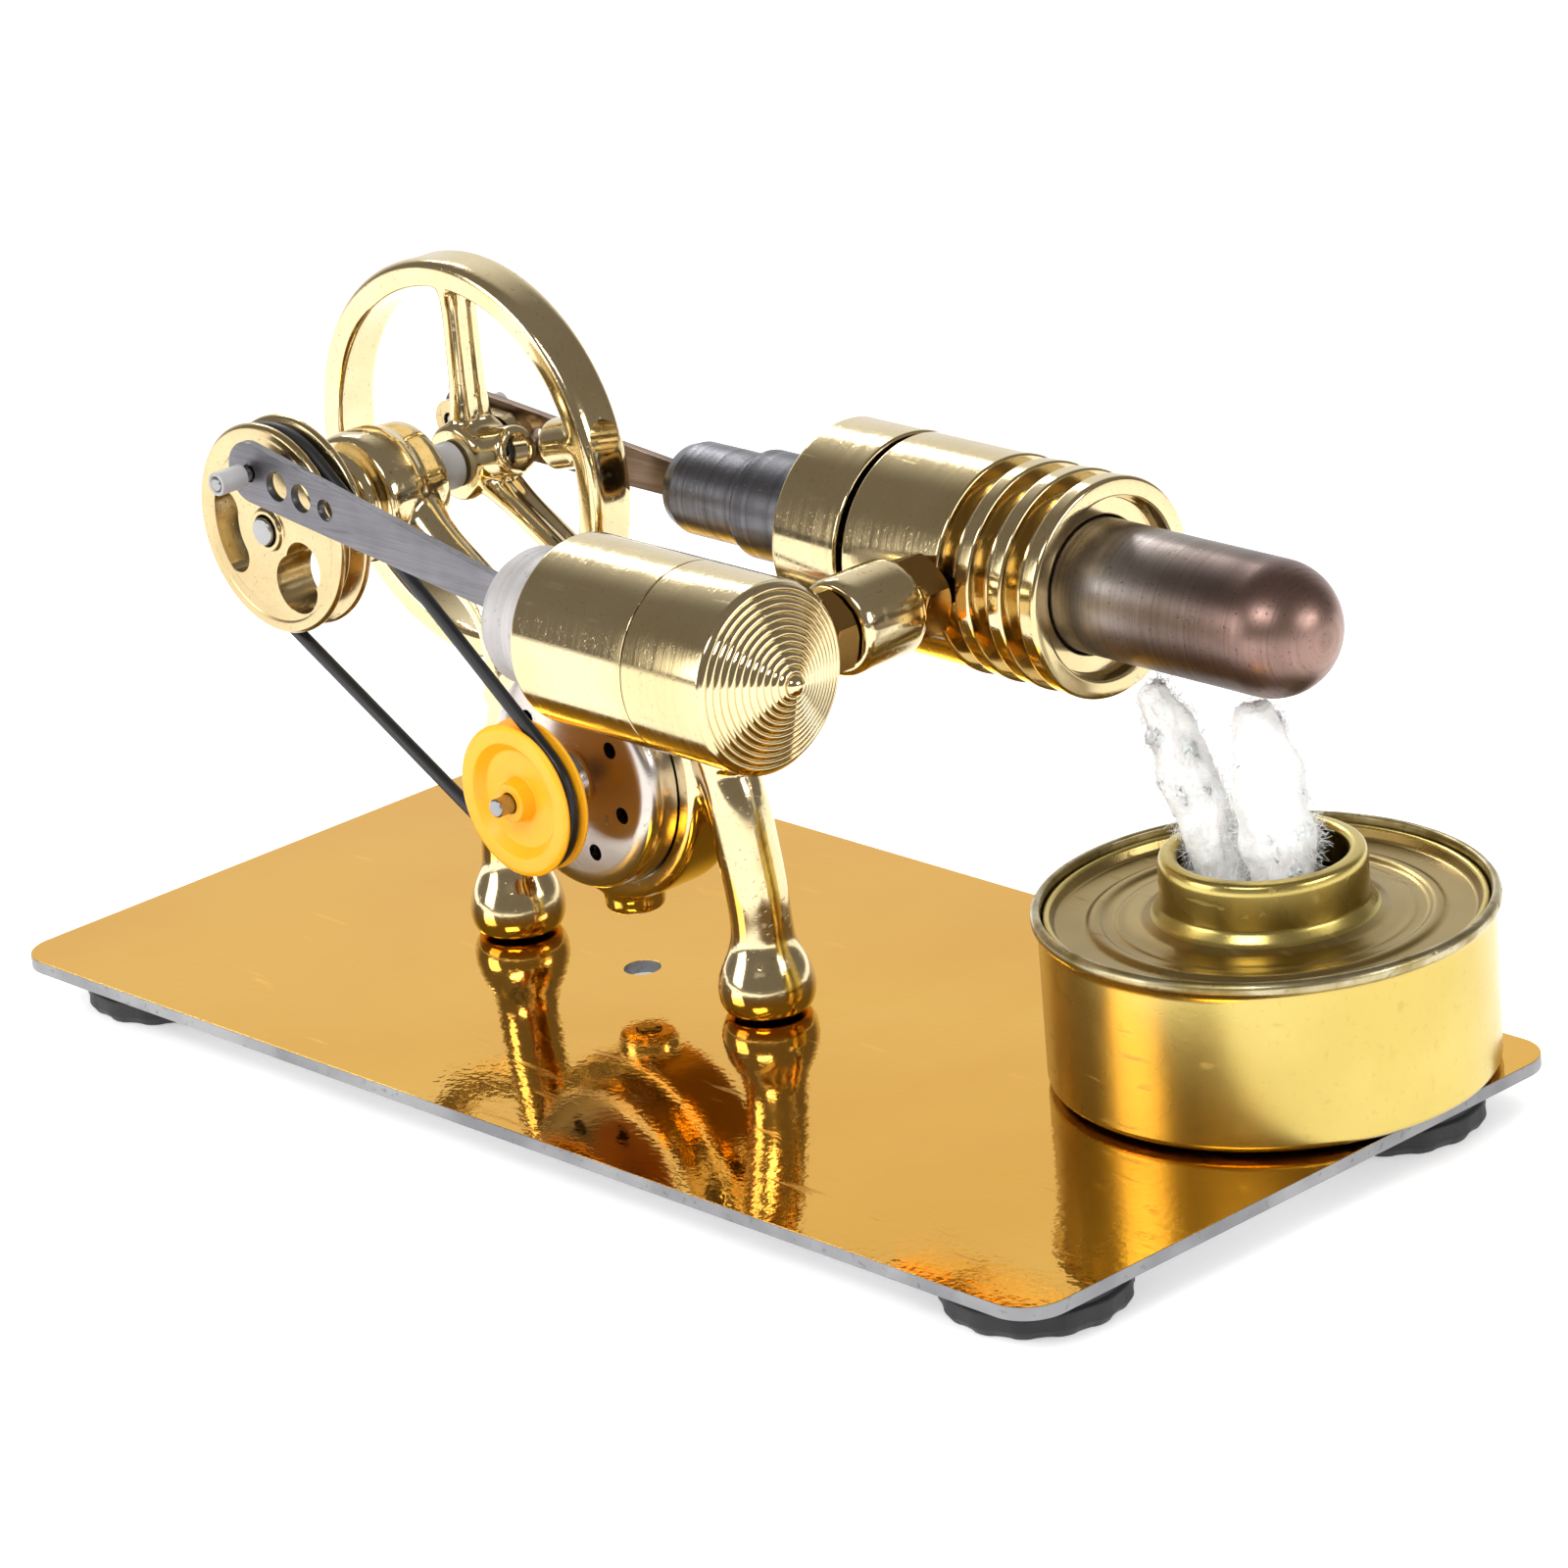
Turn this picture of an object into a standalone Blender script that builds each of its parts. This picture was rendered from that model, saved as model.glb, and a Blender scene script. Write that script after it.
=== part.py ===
# Tabletop Stirling engine: base plate, cast frame, power cylinder, displacer cylinder,
# crankshaft with flywheel, belt-driven generator motor and spirit burner.
# Sizes are millimetres; mm turns them into metres. +X points to the hot end,
# +Y to the flywheel side, +Z up, and z = 0 is the table under the rubber feet.
import math

import bmesh
import bpy
from mathutils import Matrix, Vector

mm = 0.001
seat_gap = 0.3
run_gap = 0.2

# Sides of round pieces, by how large they are
fine = 28
middle = 22
coarse = 14

# Base plate and rubber feet
plate_length = 152
plate_width = 75
plate_thickness = 1.4
plate_corner = 4.5
access_hole_radius = 1.95
foot_radius = 9.3
foot_height = 4.7
foot_inset = (11.4, 12.2)
foot_lobes = 16
plate_bottom = foot_height + seat_gap
plate_top = plate_bottom + plate_thickness

# Shaft and cylinder axes
axis_z = plate_top + 46.6
crank_x = -50.2
frame_y = -0.8

# Crank gear
shaft_radius = 1.5
crank_throw = 7.6
power_rod_length = 45.5
displacer_rod_length = 38
rod_thickness = 1
rod_big_half = 3.3
rod_small_half = 1.75
pin_radius = 0.75
power_pin_angle = math.radians(76)
displacer_pin_angle = power_pin_angle + math.radians(90)
retainer_radius = 1.25
retainer_length = 3.4
disc_radius = crank_throw + 3.8
disc_thickness = 4.6
disc_groove_radius = crank_throw + 1.9
disc_front_y = -16.6
belt_y = disc_front_y + disc_thickness / 2

# Cylinder axes lie in the planes of their connecting rods
power_y = -19.2
displacer_y = 17.9

# Frame casting
housing_radius = 7.1
housing_front_y = -5.5
housing_step_y = -0.5
housing_rear_y = 3.5
housing_nose = 1.5
bearing_radius = 3.1
bearing_width = 2.8
leg_spread = 19.2
leg_radius = 3.25
leg_foot_radius = 5.1
arm_radius = 2.5
sleeve_x = 23.2
sleeve_radius = 5
sleeve_front_y = -6
sleeve_rear_y = 2.6

# Generator motor
motor_x = -15.9
motor_z = plate_top + 23.4
motor_radius = 12.2
motor_front_y = -8.1
motor_length = 12.5
motor_shaft_radius = 1
ring_wall = 2
ring_front_y = -4.3
ring_rear_y = 2.9
pulley_radius = 8.1
pulley_width = 3.4
pulley_groove_radius = 6.3
belt_radius = 0.72

# Flywheel
wheel_radius = 22.25
wheel_front_y = 9.3
wheel_width = 5.5
wheel_rim = 3.1
wheel_hub_radius = 4.3
spoke_radius = 1.2
spoke_pitch = 1.9
spoke_count = 3
screw_angle = math.radians(15)

# Power cylinder
power_radius = 9.6
liner_radius = 7
power_bore = 5.9
liner_end_x = -6.5
jacket_start_x = 1.5
seam_x = 17.45
jacket_end_x = 28.2
cone_length = 3.4
cone_ridges = 12
piston_clearance = 0.15

# Displacer cylinder
displacer_radius = 11.2
guide_radius = 4.95
guide_step_radius = 5.75
guide_step_x = -10.8
guide_bore = 4.15
guide_end_x = -22.1
collar_start_x = 1.3
collar_end_x = 10.5
body_start_x = 11.4
groove_start_x = 24.8
groove_pitch = 4.4
groove_width = 2.45
groove_count = 3
groove_root_radius = 8.8
body_end_x = 38.2
gland_radius = 5.2
tube_radius = 6.8
tube_wall = 0.5
tube_start_x = 17.6
tube_dome_x = 59.3
displacer_start_x = 27
displacer_length = 22.7

# Spirit burner
burner_x = 55.8
burner_y = 18.2
burner_radius = 22.4
burner_rim_radius = 23.07
burner_height = 18
burner_wall = 0.4
neck_radius = 10.3
neck_top = 23.2
neck_opening = 8.4
wick_gap = 1.5

burner_base = plate_top + seat_gap
wheel_mid_y = wheel_front_y + wheel_width / 2
wheel_rear_y = wheel_front_y + wheel_width
arm_front_y = wheel_rear_y + seat_gap + 0.1
arm_thickness = 1.7


def material(name, colour, roughness, metallic):
    made = bpy.data.materials.new(name)
    made.use_nodes = True
    shader = made.node_tree.nodes["Principled BSDF"]
    shader.inputs["Base Color"].default_value = (*colour, 1)
    shader.inputs["Roughness"].default_value = roughness
    shader.inputs["Metallic"].default_value = metallic
    made.diffuse_color = (*colour, 1)
    return made


def finish(item, mat):
    # Each piece carries one material and is smooth except at its real edges.
    item.data.materials.clear()
    item.data.materials.append(mat)
    for face in item.data.polygons:
        face.material_index = 0
    item.data.shade_smooth()
    item.data.set_sharp_from_angle(angle=math.radians(32))
    return item


def piece(name, shape, at=(0, 0, 0), turn=None):
    bmesh.ops.recalc_face_normals(shape, faces=shape.faces[:])
    mesh = bpy.data.meshes.new(name)
    shape.to_mesh(mesh)
    shape.free()
    mesh.transform(Matrix.Scale(mm, 4))
    item = bpy.data.objects.new(name, mesh)
    bpy.context.scene.collection.objects.link(item)
    item.location = Vector(at) * mm
    if turn:
        item.rotation_euler = turn
    return item


# Turns that carry the local Z axis onto a world axis
along = {
    "x": (0, math.pi / 2, 0),
    "y": (-math.pi / 2, 0, 0),
    "z": (0, 0, 0),
}


def turned(name, outline, at, axis, segments=middle, closed=False):
    # Lathes (position along the axis, radius) points round the axis. A closed outline
    # makes a ring; an open one is capped where its ends stop short of the axis.
    shape = bmesh.new()
    rings = []
    for place, radius in outline:
        if radius < 1e-6:
            rings.append([shape.verts.new((0, 0, place))])
            continue
        ring = []
        for step in range(segments):
            angle = 2 * math.pi * step / segments
            ring.append(shape.verts.new((radius * math.cos(angle), radius * math.sin(angle), place)))
        rings.append(ring)
    pairs = list(zip(rings, rings[1:]))
    if closed:
        pairs.append((rings[-1], rings[0]))
    for low, high in pairs:
        for step in range(segments):
            after = (step + 1) % segments
            corners = [low[step % len(low)], low[after % len(low)], high[after % len(high)], high[step % len(high)]]
            corners = list(dict.fromkeys(corners))
            if len(corners) > 2:
                shape.faces.new(corners)
    if not closed:
        for ring in (rings[0], rings[-1]):
            if len(ring) > 1:
                shape.faces.new(ring)
    return piece(name, shape, at, along[axis])


def rod(name, at, axis, start, end, radius, chamfer=0, segments=coarse):
    outline = [(start, radius - chamfer), (start + chamfer, radius), (end - chamfer, radius), (end, radius - chamfer)]
    if not chamfer:
        outline = [(start, radius), (end, radius)]
    return turned(name, outline, at, axis, segments)


def tube(name, at, axis, start, end, outer, inner, chamfer=0, segments=middle):
    outline = [(start, inner), (start, outer - chamfer), (end, outer - chamfer), (end, inner)]
    if chamfer:
        outline[2:2] = [(start + chamfer, outer), (end - chamfer, outer)]
    return turned(name, outline, at, axis, segments, closed=True)


def extruded(name, outline, start, end, at, turn=None):
    # Extrudes an outline in the local XY plane from start to end along local Z.
    shape = bmesh.new()
    low = [shape.verts.new((x, y, start)) for x, y in outline]
    high = [shape.verts.new((x, y, end)) for x, y in outline]
    shape.faces.new(low)
    shape.faces.new(high)
    for index, corner in enumerate(low):
        after = (index + 1) % len(low)
        shape.faces.new((corner, low[after], high[after], high[index]))
    return piece(name, shape, at, turn)


def smooth_path(points, steps):
    # Catmull-Rom curve through points of any dimension.
    found = []
    ends = [points[0], *points, points[-1]]
    for index in range(len(points) - 1):
        a, b, c, d = (Vector(p) for p in ends[index:index + 4])
        for step in range(steps):
            t = step / steps
            found.append(0.5 * (2 * b + (c - a) * t + (2 * a - 5 * b + 4 * c - d) * t * t
                                + (3 * b - a - 3 * c + d) * t ** 3))
    found.append(Vector(points[-1]))
    return found


def swept(name, path, radii, sides=16, closed=False):
    # Sweeps a circle of changing radius along world points.
    shape = bmesh.new()
    rings = []
    count = len(path)
    side = None
    for index, point in enumerate(path):
        before = path[index - 1] if index or closed else path[0]
        after = path[(index + 1) % count] if index < count - 1 or closed else path[-1]
        ahead = (after - before).normalized()
        if side is None:
            side = ahead.orthogonal().normalized()
        side = (side - ahead * side.dot(ahead)).normalized()
        up = ahead.cross(side)
        ring = []
        for step in range(sides):
            angle = 2 * math.pi * step / sides
            ring.append(shape.verts.new(point + radii[index] * (math.cos(angle) * side + math.sin(angle) * up)))
        rings.append(ring)
    pairs = list(zip(rings, rings[1:]))
    if closed:
        pairs.append((rings[-1], rings[0]))
    for low, high in pairs:
        for step in range(sides):
            after = (step + 1) % sides
            shape.faces.new((low[step], low[after], high[after], high[step]))
    if not closed:
        shape.faces.new(rings[0])
        shape.faces.new(rings[-1])
    return piece(name, shape)


def combine(target, tools, operation):
    for tool in tools:
        change = target.modifiers.new(tool.name, "BOOLEAN")
        change.operation = operation
        change.object = tool
    bpy.context.view_layer.update()
    evaluated = target.evaluated_get(bpy.context.evaluated_depsgraph_get())
    mesh = bpy.data.meshes.new_from_object(evaluated)
    target.modifiers.clear()
    mesh.name = target.name
    target.data = mesh
    for tool in tools:
        bpy.data.objects.remove(tool)
    return target


def arc(centre, radius, start, end, steps):
    return [(centre[0] + radius * math.cos(start + (end - start) * step / steps),
             centre[1] + radius * math.sin(start + (end - start) * step / steps)) for step in range(steps + 1)]


def rounded_rectangle(length, width, corner, steps=6):
    outline = []
    for quarter, (x, y) in enumerate(((1, 1), (-1, 1), (-1, -1), (1, -1))):
        centre = (x * (length / 2 - corner), y * (width / 2 - corner))
        outline += arc(centre, corner, quarter * math.pi / 2, (quarter + 1) * math.pi / 2, steps)
    return outline


gold_plate = material("Gold mirror sheet", (0.83, 0.5, 0.13), 0.12, 1)
pale_gold = material("Pale gold plating", (0.72, 0.6, 0.34), 0.15, 1)
steel = material("Grey steel", (0.4, 0.4, 0.42), 0.35, 1)
dark_steel = material("Heated steel", (0.28, 0.23, 0.2), 0.3, 1)
zinc = material("Zinc plated can", (0.62, 0.6, 0.55), 0.3, 1)
tin = material("Lacquered tin", (0.55, 0.43, 0.12), 0.3, 1)
orange = material("Orange plastic", (0.95, 0.42, 0.02), 0.4, 0)
rubber = material("Black rubber", (0.02, 0.02, 0.022), 0.6, 0)
black_plastic = material("Black plastic", (0.03, 0.03, 0.03), 0.45, 0)
silicone = material("Clear silicone", (0.75, 0.75, 0.74), 0.3, 0)
cotton = material("White cotton", (0.9, 0.9, 0.88), 0.9, 0)
brass = material("Brass", (0.7, 0.5, 0.2), 0.3, 1)
copper = material("Copper", (0.6, 0.3, 0.2), 0.3, 1)


def pin_place(angle, y):
    return (crank_x + crank_throw * math.cos(angle), y, axis_z + crank_throw * math.sin(angle))


def wrist_x(angle, length):
    # Where the small end of a rod lies on the cylinder axis.
    reach = math.sqrt(length ** 2 - (crank_throw * math.sin(angle)) ** 2)
    return crank_x + crank_throw * math.cos(angle) + reach


leg_x = {"left": motor_x - leg_spread, "right": motor_x + leg_spread}


def base():
    plate = extruded("base_plate", rounded_rectangle(plate_length, plate_width, plate_corner),
                     plate_bottom, plate_top, (0, 0, 0))
    holes = [rod("access", (motor_x, frame_y, 0), "z", plate_bottom - 1, plate_top + 1, access_hole_radius)]
    for side, x in leg_x.items():
        holes.append(rod("hole_" + side, (x, frame_y, 0), "z", plate_bottom - 1, plate_top + 1, 1.5 + run_gap))
    finish(combine(plate, holes, "DIFFERENCE"), gold_plate)
    corners = {"front_left": (-1, -1), "front_right": (1, -1), "rear_left": (-1, 1), "rear_right": (1, 1)}
    for name, (x, y) in corners.items():
        place = (x * (plate_length / 2 - foot_inset[0]), y * (plate_width / 2 - foot_inset[1]), 0)
        outline = [(0, foot_radius - 0.8), (0.8, foot_radius), (foot_height * 0.7, foot_radius), (foot_height, foot_radius - 0.5)]
        foot = turned("foot_" + name, outline, place, "z", foot_lobes * 2)
        for corner in foot.data.vertices:
            angle = math.atan2(corner.co.y, corner.co.x)
            depth = 0.03 * (1 - corner.co.z / mm / foot_height)
            scale = 1 + depth * math.cos(foot_lobes * angle)
            corner.co.x *= scale
            corner.co.y *= scale
        finish(foot, rubber)


def leg(side):
    # From the round foot up beside the motor ring and over its shoulder.
    sign = 1 if side == "right" else -1
    outline = [(0, seat_gap, leg_foot_radius - 0.7), (0, 1.4, leg_foot_radius - 0.2), (0, 3, leg_foot_radius),
               (0, 5, leg_foot_radius - 0.5), (0, 7.4, leg_radius + 0.3), (0, 9.5, leg_radius), (-0.3, 13, leg_radius),
               (-1, 17, leg_radius), (-2.3, 23, leg_radius), (-5, 28.4, leg_radius - 0.1),
               (-9, 32.6, leg_radius - 0.5), (-13, 35, leg_radius - 1.1)]
    path = smooth_path([(leg_x[side] + sign * x, z, radius) for x, z, radius in outline], 2)
    points = [Vector((p.x, frame_y, plate_top + p.y)) for p in path]
    return swept("leg_" + side, points, [p.z for p in path], sides=12)


def engine_frame():
    ring_outer = motor_radius + run_gap + ring_wall
    ring = turned("engine_frame", [(ring_front_y, motor_radius + run_gap), (ring_front_y, ring_outer - 0.7),
                                   (ring_front_y + 0.7, ring_outer), (ring_rear_y - 0.7, ring_outer),
                                   (ring_rear_y, ring_outer - 0.7), (ring_rear_y, motor_radius + run_gap)],
                  (motor_x, 0, motor_z), "y", fine, closed=True)
    boss_bottom = motor_z - ring_outer - 2
    boss = rod("boss", (motor_x, frame_y, 0), "z", boss_bottom, motor_z - motor_radius - 1, 3.2, 0.4)
    housing = turned("housing", [(housing_front_y - housing_nose, 4.6), (housing_front_y, 4.8),
                                 (housing_front_y, housing_radius - 0.8), (housing_front_y + 0.8, housing_radius),
                                 (housing_step_y, housing_radius), (housing_step_y, housing_radius - 0.5),
                                 (housing_rear_y - 0.6, housing_radius - 0.6), (housing_rear_y, housing_radius - 1.2)],
                     (crank_x, 0, axis_z), "y", middle)
    sleeve = rod("sleeve", (sleeve_x, 0, axis_z), "y", sleeve_front_y, sleeve_rear_y, sleeve_radius, 0.7, middle)
    arms = []
    shoulder = leg_spread - 2.8
    routes = {
        "arm_left": [(crank_x + 2, axis_z - 0.9, 4.6), (crank_x + 5.6, axis_z - 2.9, 3.2), (crank_x + 9, axis_z - 5, 2.5),
                     (motor_x - 18.9, motor_z + 13.8, 2.5), (motor_x - shoulder + 0.4, motor_z + 9, 3),
                     (motor_x - shoulder - 0.6, motor_z + 3, 3)],
        "arm_right": [(sleeve_x - 1, axis_z - 0.8, 3.5), (sleeve_x - 6, axis_z - 4.2, 2.9),
                      ((sleeve_x + motor_x + shoulder) / 2 + 1, (axis_z + motor_z) / 2 + 3.2, 2.5),
                      (motor_x + shoulder + 1.2, motor_z + 10.5, 2.7), (motor_x + shoulder + 0.6, motor_z + 3, 3)],
    }
    for name, route in routes.items():
        path = smooth_path(route, 2)
        points = [Vector((p.x, frame_y, p.y)) for p in path]
        arms.append(swept(name, points, [p.z for p in path], sides=12))
    combine(ring, [leg("left"), leg("right"), boss, housing, sleeve, *arms], "UNION")
    cuts = [
        rod("bore", (crank_x, 0, axis_z), "y", housing_front_y - 9, housing_rear_y + 9, bearing_radius + run_gap, segments=coarse),
        rod("port", (sleeve_x, 0, axis_z), "y", sleeve_front_y - 9, sleeve_rear_y + 9, 2 + run_gap),
        rod("motor_bore", (motor_x, 0, motor_z), "y", ring_front_y - 9, ring_rear_y + 9, motor_radius + run_gap, segments=fine),
        rod("clamp_hole", (motor_x, frame_y, 0), "z", boss_bottom - 2, motor_z - motor_radius, 1.4),
    ]
    for side, x in leg_x.items():
        cuts.append(rod("tap_" + side, (x, frame_y, 0), "z", plate_top - 2, plate_top + 7, 1.3))
    finish(combine(ring, cuts, "DIFFERENCE"), pale_gold)
    clamp_top = motor_z - motor_radius - run_gap
    finish(rod("motor_clamp_screw", (motor_x, frame_y, 0), "z", boss_bottom - 0.4, clamp_top, 1.4 - run_gap), steel)
    for side, x in leg_x.items():
        outline = [(plate_bottom - seat_gap - 1.6, 1.9), (plate_bottom - seat_gap - 1.2, 2.7), (plate_bottom - seat_gap, 2.7),
                   (plate_bottom - seat_gap, 1.3 - run_gap), (plate_top + 6.5, 1.3 - run_gap)]
        finish(turned("leg_screw_" + side, outline, (x, frame_y, 0), "z", 24), steel)
    centres = {"front": housing_front_y - housing_nose + 0.3, "rear": housing_rear_y - bearing_width - 0.3}
    for name, start in centres.items():
        finish(tube(name + "_bearing", (crank_x, 0, axis_z), "y", start, start + bearing_width,
                    bearing_radius, shaft_radius + run_gap, 0.2, coarse), black_plastic)


def crankshaft():
    centre = (crank_x, 0, axis_z)
    shaft_start = disc_front_y - 1
    finish(rod("main_shaft", centre, "y", shaft_start, arm_front_y + arm_thickness + 0.1, shaft_radius, 0.2), steel)
    back = disc_front_y + disc_thickness
    groove = disc_groove_radius
    outline = [(disc_front_y - 0.5, shaft_radius + run_gap),
               (disc_front_y - 0.5, 2.2), (disc_front_y, 2.4),
               (disc_front_y, disc_radius - 0.6), (disc_front_y + 0.4, disc_radius), (disc_front_y + 0.9, disc_radius),
               (belt_y - 0.65, groove), (belt_y + 0.65, groove), (back - 0.9, disc_radius),
               (back - 0.4, disc_radius), (back, disc_radius - 0.6), (back, shaft_radius + run_gap)]
    disc = turned("crank_disc", outline, centre, "y", fine, closed=True)
    slot_inner = 4.9
    slot_outer = 9.6
    slot_mid = (slot_inner + slot_outer) / 2
    slot_half = (slot_outer - slot_inner) / 2
    start = math.radians(170)
    end = math.radians(213)
    turn = (math.pi / 2, 0, 0)
    ends = [(slot_mid * math.cos(a), slot_mid * math.sin(a)) for a in (start, end)]
    kidney = arc((0, 0), slot_outer, start, end, 8) + arc(ends[1], slot_half, end, end + math.pi, 6)[1:-1]
    kidney += arc((0, 0), slot_inner, end, start, 8) + arc(ends[0], slot_half, start + math.pi, start + 2 * math.pi, 6)[1:-1]
    cuts = [
        extruded("kidney", kidney, -(back + 1), -(disc_front_y - 1), centre, turn),
        rod("hole_a", (crank_x + 5.1, 0, axis_z - 3.2), "y", disc_front_y - 1, back + 1, 2.7),
        rod("hole_b", (crank_x + 3.7, 0, axis_z - 5.4), "y", disc_front_y - 1, back + 1, 3.2),
        rod("pin_hole", pin_place(power_pin_angle, 0), "y", disc_front_y - 1, back + 1, pin_radius + run_gap, segments=16),
    ]
    finish(combine(disc, cuts, "DIFFERENCE"), pale_gold)
    # The pin is cut just inside the rod, so that its outer end swings with the rod.
    front_tip = power_y - rod_thickness / 2 - 1 - retainer_length
    rod_face = power_y + rod_thickness / 2
    place = pin_place(power_pin_angle, 0)
    finish(rod("power_crank_pin", place, "y", rod_face + seat_gap, back - 0.5, pin_radius, segments=16), steel)
    finish(rod("power_pin_end", place, "y", front_tip - 0.1, rod_face, pin_radius, segments=16), steel)
    finish(tube("power_pin_retainer", pin_place(power_pin_angle, 0), "y", front_tip, front_tip + retainer_length,
                retainer_radius, pin_radius + 0.1, segments=16), silicone)
    finish(tube("shaft_spacer", centre, "y", housing_rear_y + seat_gap, wheel_front_y - 0.3 - seat_gap,
                2.6, shaft_radius + run_gap, segments=coarse), silicone)


def flywheel():
    centre = (crank_x, 0, axis_z)
    inner = wheel_radius - wheel_rim
    rim = turned("flywheel", [(wheel_front_y, inner + 0.7), (wheel_front_y, wheel_radius - 1),
                              (wheel_front_y + 0.3, wheel_radius - 0.3), (wheel_front_y + 1, wheel_radius),
                              (wheel_rear_y - 1, wheel_radius), (wheel_rear_y - 0.3, wheel_radius - 0.3),
                              (wheel_rear_y, wheel_radius - 1), (wheel_rear_y, inner + 0.7),
                              (wheel_rear_y - 0.7, inner), (wheel_front_y + 0.7, inner)],
                 centre, "y", fine + 12, closed=True)
    parts = [rod("hub", centre, "y", wheel_front_y - 0.3, wheel_rear_y, wheel_hub_radius, 0.5, coarse)]
    for index in range(spoke_count):
        angle = math.radians(90) + 2 * math.pi * index / spoke_count
        for side in (-1, 1):
            y = wheel_mid_y + side * spoke_pitch / 2
            reach = [2.5, 5.5, 12, inner - 1.5, inner + 1]
            radii = [spoke_radius + 0.2, spoke_radius + 0.1, spoke_radius, spoke_radius + 0.1, spoke_radius + 0.2]
            path = [Vector((crank_x + r * math.cos(angle), y, axis_z + r * math.sin(angle))) for r in reach]
            parts.append(swept("spoke_%d_%d" % (index, side), path, radii, sides=8))
    tilt = (0, math.pi / 2 - screw_angle, 0)
    screw_place = (crank_x, wheel_mid_y, axis_z)

    def radial(name, start, end, radius, segments=16):
        made = turned(name, [(start, radius), (end, radius)], screw_place, "z", segments)
        made.rotation_euler = tilt
        return made

    parts += [radial("screw_boss", 2, 7.6, 2.7), radial("rim_boss", 14.2, inner + 1, 2.75)]
    combine(rim, parts, "UNION")
    cuts = [
        rod("bore", centre, "y", wheel_front_y - 5, wheel_rear_y + 5, shaft_radius + run_gap),
        radial("screw_hole", 0, 9, 1.75),
        radial("access_hole", 12.5, wheel_radius + 2, 1.9),
    ]
    finish(combine(rim, cuts, "DIFFERENCE"), pale_gold)
    grub = radial("flywheel_grub_screw", shaft_radius + run_gap, 5.2, 1.75 - run_gap)
    socket = turned("socket", [(3.6, 0.8), (6, 0.8)], screw_place, "z", 6)
    socket.rotation_euler = tilt
    finish(combine(grub, [socket], "DIFFERENCE"), steel)


def crank_arm():
    # Small web behind the flywheel that carries the displacer's crank pin.
    pin = (crank_throw * math.cos(displacer_pin_angle), crank_throw * math.sin(displacer_pin_angle))
    side = displacer_pin_angle
    outline = arc(pin, 2.3, side - math.pi / 2, side + math.pi / 2, 10)
    outline += arc((0, 0), 3.8, side + math.pi / 2, side + 3 * math.pi / 2, 16)
    back = arm_front_y + arm_thickness
    web = extruded("rear_crank_arm", outline, -back, -arm_front_y, (crank_x, 0, axis_z), (math.pi / 2, 0, 0))
    cuts = [
        rod("bore", (crank_x, 0, axis_z), "y", arm_front_y - 1, back + 1, shaft_radius + run_gap),
        rod("pin_hole", pin_place(displacer_pin_angle, 0), "y", arm_front_y - 1, back + 1, pin_radius + run_gap, segments=16),
    ]
    finish(combine(web, cuts, "DIFFERENCE"), pale_gold)
    rear_tip = displacer_y + rod_thickness / 2 + 1 + retainer_length
    place = pin_place(displacer_pin_angle, 0)
    rod_face = displacer_y - rod_thickness / 2
    finish(rod("displacer_crank_pin", place, "y", arm_front_y + 0.2, rod_face - seat_gap, pin_radius, segments=16), steel)
    finish(rod("displacer_pin_end", place, "y", rod_face, rear_tip + 0.1, pin_radius, segments=16), steel)
    finish(tube("displacer_pin_retainer", place, "y", rear_tip - retainer_length, rear_tip,
                retainer_radius, pin_radius + 0.1, segments=16), silicone)


def connecting_rod(name, angle, length, y, mat):
    # Flat tapered bar from the wrist pin (its origin) to the crank pin, with three light holes.
    wrist = (wrist_x(angle, length), y, axis_z)
    pin = pin_place(angle, y)
    heading = math.atan2(pin[2] - wrist[2], pin[0] - wrist[0])
    taper = math.asin((rod_big_half - rod_small_half) / length)
    side = math.pi / 2 + taper
    outline = arc((length, 0), rod_big_half, -side, side, 16)
    outline += arc((0, 0), rod_small_half, side, 2 * math.pi - side, 12)
    thick = rod_thickness / 2
    bar = extruded(name, outline, -thick, thick, wrist, (math.pi / 2, -heading, 0))
    holes = [(0, pin_radius + run_gap), (length, pin_radius + run_gap),
             (length - 3.6 - pin_radius, 1.6), (length - 8.2, 1.5), (length - 12, 1.15)]
    cuts = []
    for index, (reach, radius) in enumerate(holes):
        place = (wrist[0] + reach * math.cos(heading), 0, wrist[2] + reach * math.sin(heading))
        cuts.append(rod("hole_%d" % index, place, "y", y - 2, y + 2, radius, segments=14))
    return finish(combine(bar, cuts, "DIFFERENCE"), mat)


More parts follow.
